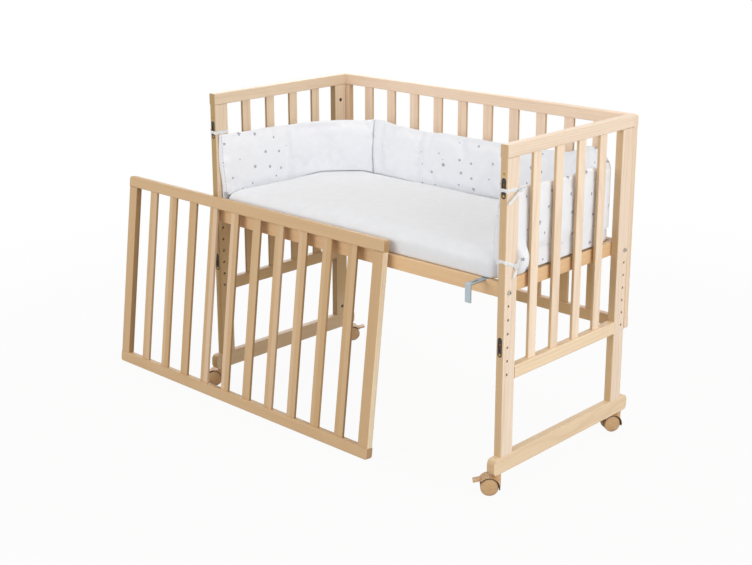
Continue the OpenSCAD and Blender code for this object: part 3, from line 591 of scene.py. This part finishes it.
BUMPER_LOW, BUMPER_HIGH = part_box("bumper")
WALL_X, WALL_Y = BUMPER_HIGH.x, BUMPER_HIGH.y
FRONT = BUMPER_LOW.y
THICK = 0.020
TOP = MATTRESS_HIGH.z + 0.133
# Height that stands in for the mattress's surface beside it, and the gap to the wall there.
OFF_BED = MATTRESS_LOW.z + 0.037 - 0.0003
SKIRT = WALL_X - MATTRESS_HIGH.x - 0.0003
# Clearance over the mattress, and how far below OFF_BED its rounded edge is followed.
BED_CLEAR, BED_DROP = 0.0004, 0.012
# It leaves the left wall, folds, and meets the back wall, across the cot's back left corner.
LEAVE = np.array((-WALL_X, WALL_Y - 0.210))
FOLD = np.array((-WALL_X + 0.137, WALL_Y - 0.026))
MEET = np.array((-WALL_X + 0.533, WALL_Y))
# Handles of the curve from the left wall to the fold, and radius of the back right corner.
HOLD_LEAVE, HOLD_FOLD = (0.008, 0.065), (0.058, 0.047)
TURN_RADIUS = 0.070
# Length over which it passes from hanging to resting on the mattress.
LEAD = 0.026
# The end panels' slats, and their posts' inner faces.
SLAT_PITCH, SLAT_WIDE, POST_IN = 0.0828, 0.028, 0.193


def band_runs():
    """The bumper's wall side seen from above, run by run: left end, corner, fold to the back
    wall, back wall, right corner, right end."""
    t = np.linspace(0, 1, 61)[:, None]
    hold_a, hold_b = LEAVE + HOLD_LEAVE, FOLD - HOLD_FOLD
    corner = ((1 - t) ** 3 * LEAVE + 3 * (1 - t) ** 2 * t * hold_a
              + 3 * (1 - t) * t * t * hold_b + t ** 3 * FOLD)
    centre = np.array((WALL_X - TURN_RADIUS, WALL_Y - TURN_RADIUS))
    angle = t * math.pi / 2
    bend = centre + TURN_RADIUS * np.hstack([np.sin(angle), np.cos(angle)])

    def straight(a, b):
        return a + (b - a) * t

    return [straight(np.array((-WALL_X, FRONT)), LEAVE), corner, straight(FOLD, MEET),
            straight(MEET, np.array((centre[0], WALL_Y))), bend,
            straight(np.array((WALL_X, centre[1])), np.array((WALL_X, FRONT)))]


def run_length(run):
    return np.linalg.norm(np.diff(run, axis=0), axis=1).sum()


RUNS = band_runs()
LEFT_END, FOLD_AT, BACK_AT, TURN_AT, TURNED_AT, BAND_END = np.cumsum([run_length(r) for r in RUNS])
PRINT_ENDS, PRINT_STARTS = 0.229, FOLD_AT + 0.1665
# Sewn lines across the band: place, depth and width of the dip.
SEAMS = [(PRINT_ENDS, 0.34, 0.008), (FOLD_AT, 0.70, 0.0050), (FOLD_AT + 0.038, 0.24, 0.006),
         (PRINT_STARTS, 0.32, 0.008), (TURNED_AT + 0.004, 0.3, 0.008)]
SEWN = [place for place, _, _ in SEAMS] + [0, BAND_END]
# The lower corner that is pulled out between the right end's slats: its place, how far out it
# is, and half its width and height.
POKE_Y, POKE_Z, POKE_OUT, POKE_WIDE, POKE_HIGH = -0.1655, 0.519, 0.026, 0.0235, 0.031
POKE_AT = BAND_END - (POKE_Y - FRONT)
# Distance between stations, how much it shrinks where they need to be closer, and the places
# and half widths of that.
STEP, STEP_CUT = 0.0078, 0.0052
CLOSE_AT = ([(place, 0.011) for place, _, _ in SEAMS]
            + [(0, 0.012), (BAND_END, 0.012), (POKE_AT, 0.03)])
# Millimetres of the top edge above TOP, by place.
LIFT = [(0, 12), (0.08, 8.5), (0.16, 6.2), (LEFT_END, 5), ((LEFT_END + FOLD_AT) / 2, 6),
        (FOLD_AT - 0.02, 9.2), (FOLD_AT, 10), (FOLD_AT + 0.02, 9.8), (FOLD_AT + 0.04, 8.5),
        (FOLD_AT + 0.08, 2.4), (FOLD_AT + 0.14, -1), (BACK_AT, -1), (BACK_AT + 0.1, 0),
        (TURN_AT - 0.16, 0), (TURN_AT - 0.11, 3), (TURN_AT - 0.075, 6), (TURN_AT - 0.05, 17),
        (TURN_AT - 0.032, 26), (TURN_AT - 0.008, 26), (TURN_AT + 0.012, 20), (TURN_AT + 0.035, 8),
        (TURN_AT + 0.06, -3), (TURN_AT + 0.085, -9), (TURNED_AT, -5), (TURNED_AT + 0.03, 4),
        (TURNED_AT + 0.06, 6), ((TURNED_AT + BAND_END) / 2, 3.5), (BAND_END, 12)]


def band_spots():
    """Stations along the band, close together at seams and at the pulled out corner."""
    fine = np.linspace(0, BAND_END, 6000)
    gap = np.full(len(fine), STEP)
    for place, wide in CLOSE_AT:
        gap = np.minimum(gap, STEP - STEP_CUT * np.exp(-((fine - place) / wide) ** 4))
    total = np.concatenate([[0], np.cumsum((1 / gap[1:] + 1 / gap[:-1]) / 2 * np.diff(fine))])
    return np.interp(np.linspace(0, total[-1], int(total[-1]) + 1), total, fine)


SPOTS = band_spots()


def band_path():
    points = np.vstack([run[:-1] for run in RUNS] + [RUNS[-1][-1:]])
    place = np.concatenate([[0], np.cumsum(np.linalg.norm(np.diff(points, axis=0), axis=1))])
    return np.stack([np.interp(SPOTS, place, points[:, k]) for k in (0, 1)], axis=1)


def band_top():
    """Height of the top edge at each station; from the back wall on, its turns are softened."""
    places, lifts = zip(*LIFT)
    soft = sum(np.interp(SPOTS + move, places, lifts)
               for move in (-0.008, -0.004, 0, 0.004, 0.008)) / 5
    top = TOP + np.where(SPOTS > BACK_AT, soft, np.interp(SPOTS, places, lifts)) / 1000
    return top - 0.0011 * (np.sin(SPOTS * 31) + 0.6 * np.sin(SPOTS * 57 + 1))


def in_gap(y):
    """1 in the middle of a gap between an end panel's slats, 0 at its edges."""
    cell = (y + POST_IN) % SLAT_PITCH
    room = SLAT_PITCH - SLAT_WIDE
    return np.where((cell < room) & (abs(y) < POST_IN),
                    np.clip(np.sin(np.clip(cell / room, 0, 1) * math.pi), 0, 1) ** 0.8, 0.0)


def band_stations():
    """One record for each station: its place, the way in from the wall, how full the band is,
    how far it rests on the mattress instead of hanging beside it (rest), how near it is to the
    right end (right), its top, the slats' gap beside it and the pulled out corner (poke)."""
    path = band_path()
    heading = np.gradient(path, axis=0)
    heading /= np.linalg.norm(heading, axis=1, keepdims=True)
    inward = np.stack([heading[:, 1], -heading[:, 0]], axis=1)
    free = FOLD_AT + 0.52 * (BACK_AT - FOLD_AT)
    rest = np.maximum(*(ease(SPOTS, start - LEAD, start) * (1 - ease(SPOTS, stop, stop + LEAD))
                        for start, stop in ((LEFT_END, free), (TURN_AT, TURNED_AT))))
    full = np.ones(len(SPOTS))
    for place, depth, wide in SEAMS:
        full *= 1 - depth * np.exp(-np.abs((SPOTS - place) / wide) ** 1.4)
    full *= 0.5 + 0.5 * ease(SPOTS, 0, 0.020)
    full *= 0.62 + 0.38 * ease(BAND_END - SPOTS, 0, 0.010)
    right = 1 - ease(BAND_END - SPOTS, 0.03, 0.15)
    on_end = np.abs(path[:, 0]) > WALL_X - 0.002
    gap = np.where(on_end, in_gap(path[:, 1]), 0.0)
    poke = np.clip(1 - np.abs((path[:, 1] - POKE_Y) / POKE_WIDE) ** 3.0, 0, 1)
    poke = np.where(on_end & (path[:, 0] > 0), poke, 0.0)
    names = ("spot", "here", "inward", "rest", "full", "right", "top", "gap", "poke")
    columns = (SPOTS, path, inward, rest, full, right, band_top(), gap, poke)
    return [SimpleNamespace(**dict(zip(names, values))) for values in zip(*columns)]


# Points of a section: up the wall side, over the top, down the face, back under it, down the hem.
UP, OVER, DOWN, UNDER, HEM = 15, 6, 24, 6, 6
FACE_FROM, FACE_TO = UP + OVER - 1, UP + OVER - 1 + DOWN
# Share of the thickness by height on the face, and the same at the right end.
FACE_SHARE = ([0.0, 0.035, 0.12, 0.30, 0.55, 0.843, 0.957, 1.0],
              [0.93, 0.97, 1.0, 1.01, 1.0, 0.84, 0.62, 0.55])
END_SHARE = ([0.0, 0.035, 0.12, 0.30, 0.55, 0.80, 0.957, 1.0],
             [0.72, 0.90, 1.08, 1.20, 1.04, 0.75, 0.42, 0.36])
# Depth of the rounded top edge, and its rise.
ROLL, ROLL_RISE = 0.007, 0.0068
# Swelling of the wall side, what a gap adds to it, and the heights between which it sets in.
BELLY, GAP_BELLY, BELLY_FROM = 0.0022, 0.0042, (0.512, 0.560)
# Height of the face's foot over the mattress.
FOOT_UP = 0.0014
# The left end's front edge is drawn back at its foot: by how much, between which heights, and
# over what length.
LEAN_BACK, LEAN_BETWEEN, LEAN_LONG = 0.008, (0.610, 0.530), 0.05
# Half width that is pinned at a seam, and how far the fabric may puff up over the solid.
PIN_REACH, PUFF_OVER = 0.003, 0.016


def thick_share(height, right):
    return np.interp(height, *FACE_SHARE) * (1 - right) + np.interp(height, *END_SHARE) * right


def band_section(s, bed):
    """Outline of the band at one station, as (distance in from the wall, height) points."""
    def bed_at(u):
        return bed(s.here + s.inward * u)

    def rested(hanging, resting):
        return hanging * (1 - s.rest) + resting * s.rest

    thick, shoulder = THICK * s.full, s.top - ROLL
    low = bed_at(thick * 0.92) or OFF_BED
    outer = bed_at(SKIRT + 0.001) or OFF_BED
    start = rested(BUMPER_LOW.z + 0.0006, outer + 0.0015)
    ring = []
    for k in range(UP):
        z = start + (shoulder - start) * (k / (UP - 1)) ** 1.15
        belly = ease(z, *BELLY_FROM) * (1 - ease(z, s.top - 0.05, s.top - 0.004))
        out = (BELLY + GAP_BELLY * s.gap) * belly * (1 - s.rest) * (0.5 + 0.5 * s.full)
        out += POKE_OUT * s.poke * math.exp(-abs((z - POKE_Z) / POKE_HIGH) ** 3.6)
        ring.append((0.0006 + 0.0006 * math.sin(s.spot * 41 + z * 37) - out, z))
    wall_top = ring[-1][0]
    half = (thick * thick_share(0.955, s.right) - wall_top) / 2
    for k in range(1, OVER):
        a = math.pi * k / OVER
        ring.append((wall_top + half * (1 - math.cos(a)), shoulder + ROLL_RISE * math.sin(a)))
    pucker = sum(0.0007 * math.exp(-abs(s.spot - place) / 0.012) for place, _, _ in SEAMS)
    crumple = 0.0030 * math.exp(-((s.spot - TURN_AT) / 0.045) ** 2)
    for k in range(DOWN):
        h = 1 - (k / (DOWN - 1)) ** 0.92
        z = low + FOOT_UP + (shoulder - low - FOOT_UP) * h
        wave = pucker * math.sin(z * 390 + s.spot * 70) * math.sin(math.pi * h)
        wave += (crumple * math.sin(z * 150 + s.spot * 110) * math.sin(z * 61 - s.spot * 170)
                 * ease(h, 0.2, 0.6))
        ring.append((thick * thick_share(h, s.right) + wave, z))
    foot, under = ring[-1][0], low
    for k in range(1, UNDER + 1):
        u = foot * 0.94 + (SKIRT - foot * 0.94) * (k / UNDER)
        under = bed_at(u) or max(under, OFF_BED)
        ring.append((u, under + 0.0022 * (1 - k / UNDER) ** 3))
    bottom = BUMPER_LOW.z + 0.002
    for k in range(1, HEM + 1):
        t = k / HEM
        ring.append((rested(SKIRT * (0.96 - 0.1 * t), SKIRT + (0.0012 - SKIRT) * t),
                     rested(under + (bottom - under) * t, under + (outer - under) * t)))
    return ring


def band_mesh(stations, rings):
    """The closed band through all sections, with its length and height as UV."""
    count, around = len(rings), len(rings[0])
    corners = []
    for s, ring in zip(stations, rings):
        for u, z in ring:
            x, y = s.here + s.inward * u
            y += LEAN_BACK * ease(z, *LEAN_BETWEEN) * (1 - ease(s.spot, 0, LEAN_LONG))
            corners.append((x, y, z))
    faces = [(i * around + j, i * around + (j + 1) % around,
              (i + 1) * around + (j + 1) % around, (i + 1) * around + j)
             for i in range(count - 1) for j in range(around)]
    faces.append(tuple(range(around))[::-1])
    faces.append(tuple((count - 1) * around + j for j in range(around)))
    mesh = bpy.data.meshes.new("padded_bumper")
    mesh.from_pydata(corners, [], faces)
    pad = bpy.data.objects.new("padded_bumper", mesh)
    scene.collection.objects.link(pad)
    band = mesh.uv_layers.new(name="band")
    for loop in mesh.loops:
        i, j = divmod(loop.vertex_index, around)
        band.data[loop.index].uv = (SPOTS[i], rings[i][j][1])
    edit(pad, bpy.ops.mesh.normals_make_consistent, inside=False)
    return pad


def hold_band(pad, stations, around):
    """Pins what is sewn, rests on something or lies against the wall."""
    held = pad.vertex_groups.new(name="sewn")
    for i, s in enumerate(stations):
        sewn = min(abs(s.spot - place) for place in SEWN) < PIN_REACH
        for j in range(around):
            weight = 0.0 if FACE_FROM < j < FACE_TO - 3 else 0.4 if 3 < j < UP - 1 else 1.0
            if sewn or (j < UP and s.poke > 0):
                weight = 1.0
            if weight:
                held.add([i * around + j], weight, "REPLACE")


def settle_band(pad, before, stations, around, bed):
    """Keeps the swollen band clear of the wall and the mattress."""
    points = points_of(pad)
    inward = np.array([s.inward for s in stations])
    shift = points - before
    row, column = np.divmod(np.arange(len(points)), around)
    out = np.einsum("ij,ij->i", shift[:, :2], inward[row])
    back = (column < UP + 1) & (out < 0)
    shift[back, :2] -= inward[row[back]] * out[back, None]
    points = before + shift
    for k in np.nonzero((column >= FACE_TO - 6) & (column < FACE_TO + UNDER))[0]:
        lowest = bed(points[k])
        if lowest and points[k, 2] < lowest:
            points[k, 2] = lowest
    points[:, 2] = np.clip(points[:, 2], BUMPER_LOW.z, BUMPER_HIGH.z + PUFF_OVER)
    move_points(pad, points)


def make_bumper(pad_below):
    """Padded cotton band in sewn sections, with its fold across the back left corner."""
    below = BVHTree.FromPolygons([v.co[:] for v in pad_below.data.vertices],
                                 [face.vertices[:] for face in pad_below.data.polygons])

    def bed(point):
        """Height of the mattress's surface there, or None beside it."""
        hit = below.ray_cast(Vector((point[0], point[1], TOP)), Vector((0, 0, -1)))[0]
        return max(hit.z + BED_CLEAR, OFF_BED - BED_DROP) if hit else None

    stations = band_stations()
    rings = [band_section(s, bed) for s in stations]
    around = len(rings[0])
    pad = band_mesh(stations, rings)
    hold_band(pad, stations, around)
    before = swell(pad, frames=14, pressure=2.0, cap=0.004, stiffness=9.0, grow=0.035, held="sewn")
    settle_band(pad, before, stations, around, bed)
    add_rounding(pad).uv_smooth = "PRESERVE_BOUNDARIES"
    apply_modifiers(pad)
    smooth(pad, 180)
    pad.data.materials.append(bumper_cotton())
    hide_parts("bumper")
    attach(pad, "frame")


# Ties

RIBBON_WIDE, RIBBON_THICK = 0.008, 0.0007
# The loop's gap to the post, radius at its corners and distance between its points.
POST_GAP, POST_BEND, POST_STEP = 0.0008, 0.0035, 0.004
KNOT_OUT, KNOT_RADIUS, KNOT_THICK = 0.0036, 0.0038, 0.0026
KNOT_TILT, KNOT_SHAPE = (math.radians(64), 0.3, 0.4), (0.8, 1.2, 0.95)
TAIL_POINTS = 26
# Name, side, height at the front face, knot's distance from the post's back edge, fall to the
# knot, and two tails: the points from the knot, the twist at both ends, the width.
TIES = [
    ("tie_right_upper", 1, 0.686, 0.004, 0.002, [
        ([(0, 0, 0), (0.003, -0.011, -0.006), (0.004, -0.027, -0.015), (0.003, -0.042, -0.025)],
         (0, 25), 0.0055),
        ([(0, 0, 0), (0.003, 0.005, 0.006), (0.005, 0.009, 0.000), (0.003, 0.010, -0.014)],
         (0, 70), 0.0055)]),
    ("tie_right_lower", 1, 0.532, 0.012, 0.018, [
        ([(0, 0, 0), (0.003, -0.003, -0.008), (0.003, -0.007, -0.016), (0.002, -0.010, -0.026)],
         (0, 40), 0.0045),
        ([(0, 0, 0), (0.003, 0.004, 0.009), (0.004, 0.008, 0.019), (0.003, 0.006, 0.030)],
         (0, 60), 0.0045)]),
    ("tie_left_upper", -1, 0.684, 0.004, 0.001, [
        ([(0, 0, 0), (0.004, -0.009, 0.004), (0.007, -0.019, 0.006), (0.008, -0.029, 0.002)],
         (0, 40), 0.0055),
        ([(0, 0, 0), (0.003, 0.004, -0.010), (0.004, 0.008, -0.024), (0.003, 0.008, -0.034)],
         (0, 50), 0.0055)])]


def ribbon(name, route, twist, width=RIBBON_WIDE, closed=False):
    """A strip of ribbon through the points, with its flat side turned by twist at each, in
    degrees."""
    bpy.ops.object.select_all(action="DESELECT")
    count = len(route)
    bpy.ops.mesh.primitive_grid_add(x_subdivisions=count - 1, y_subdivisions=3, size=1)
    strip = bpy.context.active_object
    strip.name = name
    route = [Vector(p) for p in route]
    points = points_of(strip)
    columns = np.rint((points[:, 0] + 0.5) * (count - 1)).astype(int)
    placed = []
    for column, side in zip(columns, points[:, 1]):
        ahead = route[min(column + 1, count - 1)] - route[max(column - 1, 0)]
        if closed and column in (0, count - 1):
            ahead = route[1] - route[count - 2]
        ahead.normalize()
        flat = Vector((0, 0, 1)) - ahead * ahead.z
        flat.normalize()
        other = ahead.cross(flat)
        angle = math.radians(twist[column])
        lie = flat * math.cos(angle) + other * math.sin(angle)
        placed.append(route[column] + lie * (side * width * (1 + 0.12 * math.sin(column * 0.9)))
                      + other * (0.0006 * math.cos(side * 6)))
    move_points(strip, placed)
    body = strip.modifiers.new("cloth", "SOLIDIFY")
    body.thickness, body.offset = RIBBON_THICK, 0
    add_rounding(strip)
    apply_modifiers(strip)
    smooth(strip, 60)
    return strip


def curve_points(anchors, count):
    """A smooth run of points through the anchors."""
    anchors = [Vector(a) for a in anchors]
    ends = [2 * anchors[0] - anchors[1]] + anchors + [2 * anchors[-1] - anchors[-2]]
    run = []
    for i in range(count):
        t = i / (count - 1) * (len(anchors) - 1)
        k = min(int(t), len(anchors) - 2)
        t -= k
        a, b, c, d = ends[k:k + 4]
        run.append(0.5 * ((2 * b) + (c - a) * t + (2 * a - 5 * b + 4 * c - d) * t * t
                          + (3 * b - a - 3 * c + d) * t ** 3))
    return run


def round_post(x0, x1, y0, y1):
    """Points close together round a post's section, with its corners rounded."""
    left, right, near, far = x0 + POST_BEND, x1 - POST_BEND, y0 + POST_BEND, y1 - POST_BEND
    outline = []
    for cx, cy, start in ((right, far, 0), (left, far, 90), (left, near, 180), (right, near, 270)):
        for k in range(5):
            a = math.radians(start + 22.5 * k)
            outline.append((cx + POST_BEND * math.cos(a), cy + POST_BEND * math.sin(a)))
    outline.append(outline[0])
    dense = []
    for (ax, ay), (bx, by) in zip(outline, outline[1:]):
        steps = max(1, int(math.hypot(bx - ax, by - ay) / POST_STEP))
        dense += [(ax + (bx - ax) * k / steps, ay + (by - ay) * k / steps) for k in range(steps)]
    return dense + [outline[-1]]


def make_knot(knot_at, side, post_face):
    """A small tight knot, flattened against the post's outer face."""
    bpy.ops.object.select_all(action="DESELECT")
    bpy.ops.mesh.primitive_torus_add(major_radius=KNOT_RADIUS, minor_radius=KNOT_THICK,
                                     major_segments=24, minor_segments=12, location=knot_at,
                                     rotation=KNOT_TILT)
    knot = bpy.context.active_object
    bpy.ops.object.transform_apply(location=True, rotation=True, scale=True)
    centre = np.array(knot_at)
    points = centre + (points_of(knot) - centre) * np.array(KNOT_SHAPE)
    points += 0.0005 * np.sin(points[:, [1, 2, 0]] * 2100)
    points[:, 0] = np.maximum(points[:, 0] * side, post_face + 0.0004) * side
    move_points(knot, points)
    smooth(knot, 180)
    return knot


def make_tie(name, side, height, knot_in, fall, tails):
    """A ribbon round a front post, knotted on its outer face."""
    post_low, post_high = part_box("right_front_post")
    x0, x1 = post_low.x - POST_GAP, post_high.x + POST_GAP
    y0, y1 = post_low.y - POST_GAP, post_high.y + POST_GAP

    def level(x, y):
        """Height of the band: it slopes from the front face to the knot and climbs back inside."""
        along = (y - y0) / (y1 - y0) if x > (x0 + x1) / 2 else 0.5 * (y - y0) / (y1 - y0)
        return height - fall * along + 0.0008 * math.sin(x * 310 + y * 260)

    way = [(side * x, y, level(x, y)) for x, y in round_post(x0, x1, y0, y1)]
    loop = ribbon(name + "_loop", way, [0.0] * len(way), closed=True)
    knot_y = y1 - knot_in
    knot_at = Vector((side * (x1 + KNOT_OUT), knot_y, level(x1, knot_y)))
    parts = [loop, make_knot(knot_at, side, x1)]
    for number, (anchors, (first, last), width) in enumerate(tails):
        route = curve_points([knot_at + Vector((side * x, y, z)) for x, y, z in anchors],
                             TAIL_POINTS)
        turns = [first + (last - first) * k / (TAIL_POINTS - 1) for k in range(TAIL_POINTS)]
        parts.append(ribbon(f"{name}_tail_{number}", route, turns, width))
    bpy.ops.object.select_all(action="DESELECT")
    for part in parts:
        part.select_set(True)
    bpy.context.view_layer.objects.active = loop
    bpy.ops.object.join()
    loop.name = name
    loop.data.materials.clear()
    loop.data.materials.append(RIBBON)
    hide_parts("bumper_ties")
    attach(loop, "frame")


# Camera, light and room

WHITE = (1, 1, 1, 1)
AMBIENT = 0.42
LIGHT_AIM = Vector((0.0, 0.0, 0.4))
FLOOR_SIZE, FLOOR_DROP = 40, 0.0004
# Place, size and watts of each softbox.
SOFTBOXES = {"key": ((3.6, -0.5, 1.7), (3.2, 2.4), 73), "fill": ((-1.0, -3.6, 1.7), (2.4, 1.6), 53),
             "top": ((0.2, 0.4, 3.4), (2.4, 1.6), 28), "rim": ((-2.6, 2.4, 2.0), (1.6, 1.2), 24)}


def make_camera():
    data = bpy.data.cameras.new("view")
    data.sensor_width = 36.0
    data.lens = 62.454
    data.shift_y = -0.0765
    data.clip_start, data.clip_end = 0.05, 60
    camera = bpy.data.objects.new("view", data)
    scene.collection.objects.link(camera)
    camera.location = (2.0703, -2.3214, 1.3220)
    camera.rotation_euler = tuple(math.radians(a) for a in (74.851, 0.063, 43.306))
    scene.camera = camera


def softbox(name, place, size, watts):
    data = bpy.data.lights.new(name, "AREA")
    data.shape = "RECTANGLE"
    data.size, data.size_y = size
    data.energy = watts
    lamp = bpy.data.objects.new(name, data)
    scene.collection.objects.link(lamp)
    lamp.location = place
    lamp.rotation_euler = (LIGHT_AIM - Vector(place)).to_track_quat("-Z", "Y").to_euler()


def make_floor():
    """A plain pale floor, white to the camera but for the object's shadow."""
    bpy.ops.object.select_all(action="DESELECT")
    bpy.ops.mesh.primitive_plane_add(size=FLOOR_SIZE, location=(0, 0, -FLOOR_DROP))
    floor = bpy.context.active_object
    floor.name = "floor"
    f = new_finish("pale_floor")
    seen = f.ray("Camera").larger(f.ray("Glossy"))
    paint = f.node("ShaderNodeBsdfDiffuse", {}, {"Color": (0.62, 0.61, 0.60, 1)})
    glow = f.node("ShaderNodeEmission", {}, {"Color": WHITE, "Strength": 1.0})
    x, y, _ = f.axes(f.place())
    reach = (x * x + y * y) ** 0.5
    share = seen * (reach.ramp(0.9, 2.4) * 0.06 + 0.94)
    mixed = f.node("ShaderNodeMixShader", {}, {0: share, 1: paint, 2: glow})
    floor.data.materials.append(f.end(mixed))


def make_room():
    make_floor()
    scene.world = bpy.data.worlds.new("studio")
    sky = Finish(scene.world)
    seen = sky.ray("Camera").larger(sky.ray("Glossy")).larger(sky.ray("Transmission"))
    light = sky.node("ShaderNodeBackground", {},
                     {"Color": WHITE, "Strength": seen * (1.0 - AMBIENT) + AMBIENT})
    sky.end(light, "ShaderNodeOutputWorld")
    for name, (place, size, watts) in SOFTBOXES.items():
        softbox(name, place, size, watts)
    scene.view_settings.view_transform = "Standard"


make_camera()
make_room()

# Boards: name, way of the grain, and for rows of boards the axis, pitch and start of the row.
END_BOARDS = [("front_post", "z", None), ("back_post", "z", None), ("top_rail", "y", None),
              ("bottom_rail", "y", None), ("slats", "z", ("y", SLAT_PITCH, -2 * SLAT_PITCH)),
              ("foot_rail", "y", None)]
END_TONES = {"left": {"post": LEFT_PINE, "slats": LEFT_SLAT_PINE, "back_post": LEFT_SLAT_PINE},
             "right": {"post": RIGHT_PINE, "slats": RIGHT_SLAT_PINE, "bottom_rail": RIGHT_LOW_PINE,
                       "foot_rail": RIGHT_FOOT_PINE}}
LONG_BOARDS = [("top_rail", "x", None, None, SIDE_PINE),
               ("bottom_rail", "x", None, None, SIDE_PINE),
               ("stiles", "z", ("x", 0.4, -0.6), ("x", 0.4, -1.0), SIDE_STILE_PINE),
               ("slats", "z", ("x", 0.083, -0.457), ("x", 0.083, -0.786), SIDE_SLAT_PINE)]
BASE_BOARDS = [("base_front_rail", "x", None), ("base_back_rail", "x", None),
               ("base_end_rails", "y", ("x", 0.6, -0.6)), ("base_ledgers", "x", None),
               ("base_slats", "y", ("x", 0.08338, -0.417))]
SIDE_LEAN = 6.8

for side, first_seed, inward in (("left", 1, (1, 0)), ("right", 7, None)):
    tones = END_TONES[side]
    for seed, (part, along, pitch) in enumerate(END_BOARDS, first_seed):
        finish = pine(f"pine_{side}_{part}", along, seed, tones.get(part, tones["post"]),
                      slat_pitch=pitch, inward=inward)
        dress(f"{side}_{part}", finish)
for seed, (part, along, back_pitch, side_pitch, side_tones) in enumerate(LONG_BOARDS):
    dress(f"back_{part}", pine(f"pine_back_{part}", along, seed + 13, BACK_PINE,
                               slat_pitch=back_pitch, inward=(0, -1)))
    dress(f"side_{part}", pine(f"pine_side_{part}", along, seed + 17, side_tones,
                               slat_pitch=side_pitch, lean=SIDE_LEAN))
for seed, (part, along, pitch) in enumerate(BASE_BOARDS, 21):
    dress(part, pine(f"pine_{part}", along, seed, BASE_PINE, slat_pitch=pitch))
dress("dowels", pine("beech_dowels", "z", 26, SIDE_PINE, tone=0.3))

zinc = metal("zinc_plate", colour(200, 194, 184), 0.3)
blued = metal("blued_steel", colour(92, 80, 68), 0.42)
for parts, finish in ((("base_bolts", "hook_screws", "side_studs"), zinc),
                      (("foot_bolts", "panel_bolts", "barrel_nuts"), blued)):
    for part in parts:
        dress(part, finish)
dress("bed_hook", metal("hook_zinc", colour(176, 188, 194), 0.3, "x"))
dress("plate_screws", metal("brass_screw", colour(178, 138, 82), 0.34))
dress("keyhole_plates", black_plate())

# Painted shade lies inside the hood's arch, and dirt with painted shade on the wheels' treads.
WHEEL_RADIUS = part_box("front_left_inner_wheel")[1].z / 2
ARCH, TREAD = WHEEL_RADIUS + 0.0031, WHEEL_RADIUS - 0.0011
ARCH_SHADE, TREAD_DIRT_AND_SHADE = (ARCH + 0.0003, ARCH, 1.0), (TREAD, TREAD + 0.0005, 0.6)
for corner in ("front_left", "back_left", "front_right", "back_right"):
    hood = castor_plastic("castor_hood_plastic", colour(210, 173, 130), colour(194, 156, 112),
                          0.3, corner, ARCH_SHADE)
    wheel = castor_plastic("castor_wheel_plastic", colour(204, 167, 124), colour(188, 150, 106),
                           0.34, corner, TREAD_DIRT_AND_SHADE)
    for part, finish in (("hood", hood), ("brake", hood), ("axle", zinc),
                         ("inner_wheel", wheel), ("outer_wheel", wheel)):
        dress(f"{corner}_{part}", finish)
    if corner == "front_left":
        dress("castor_stems", hood)

RIBBON = ribbon_satin()
make_bumper(make_mattress())
for tie in TIES:
    make_tie(*tie)
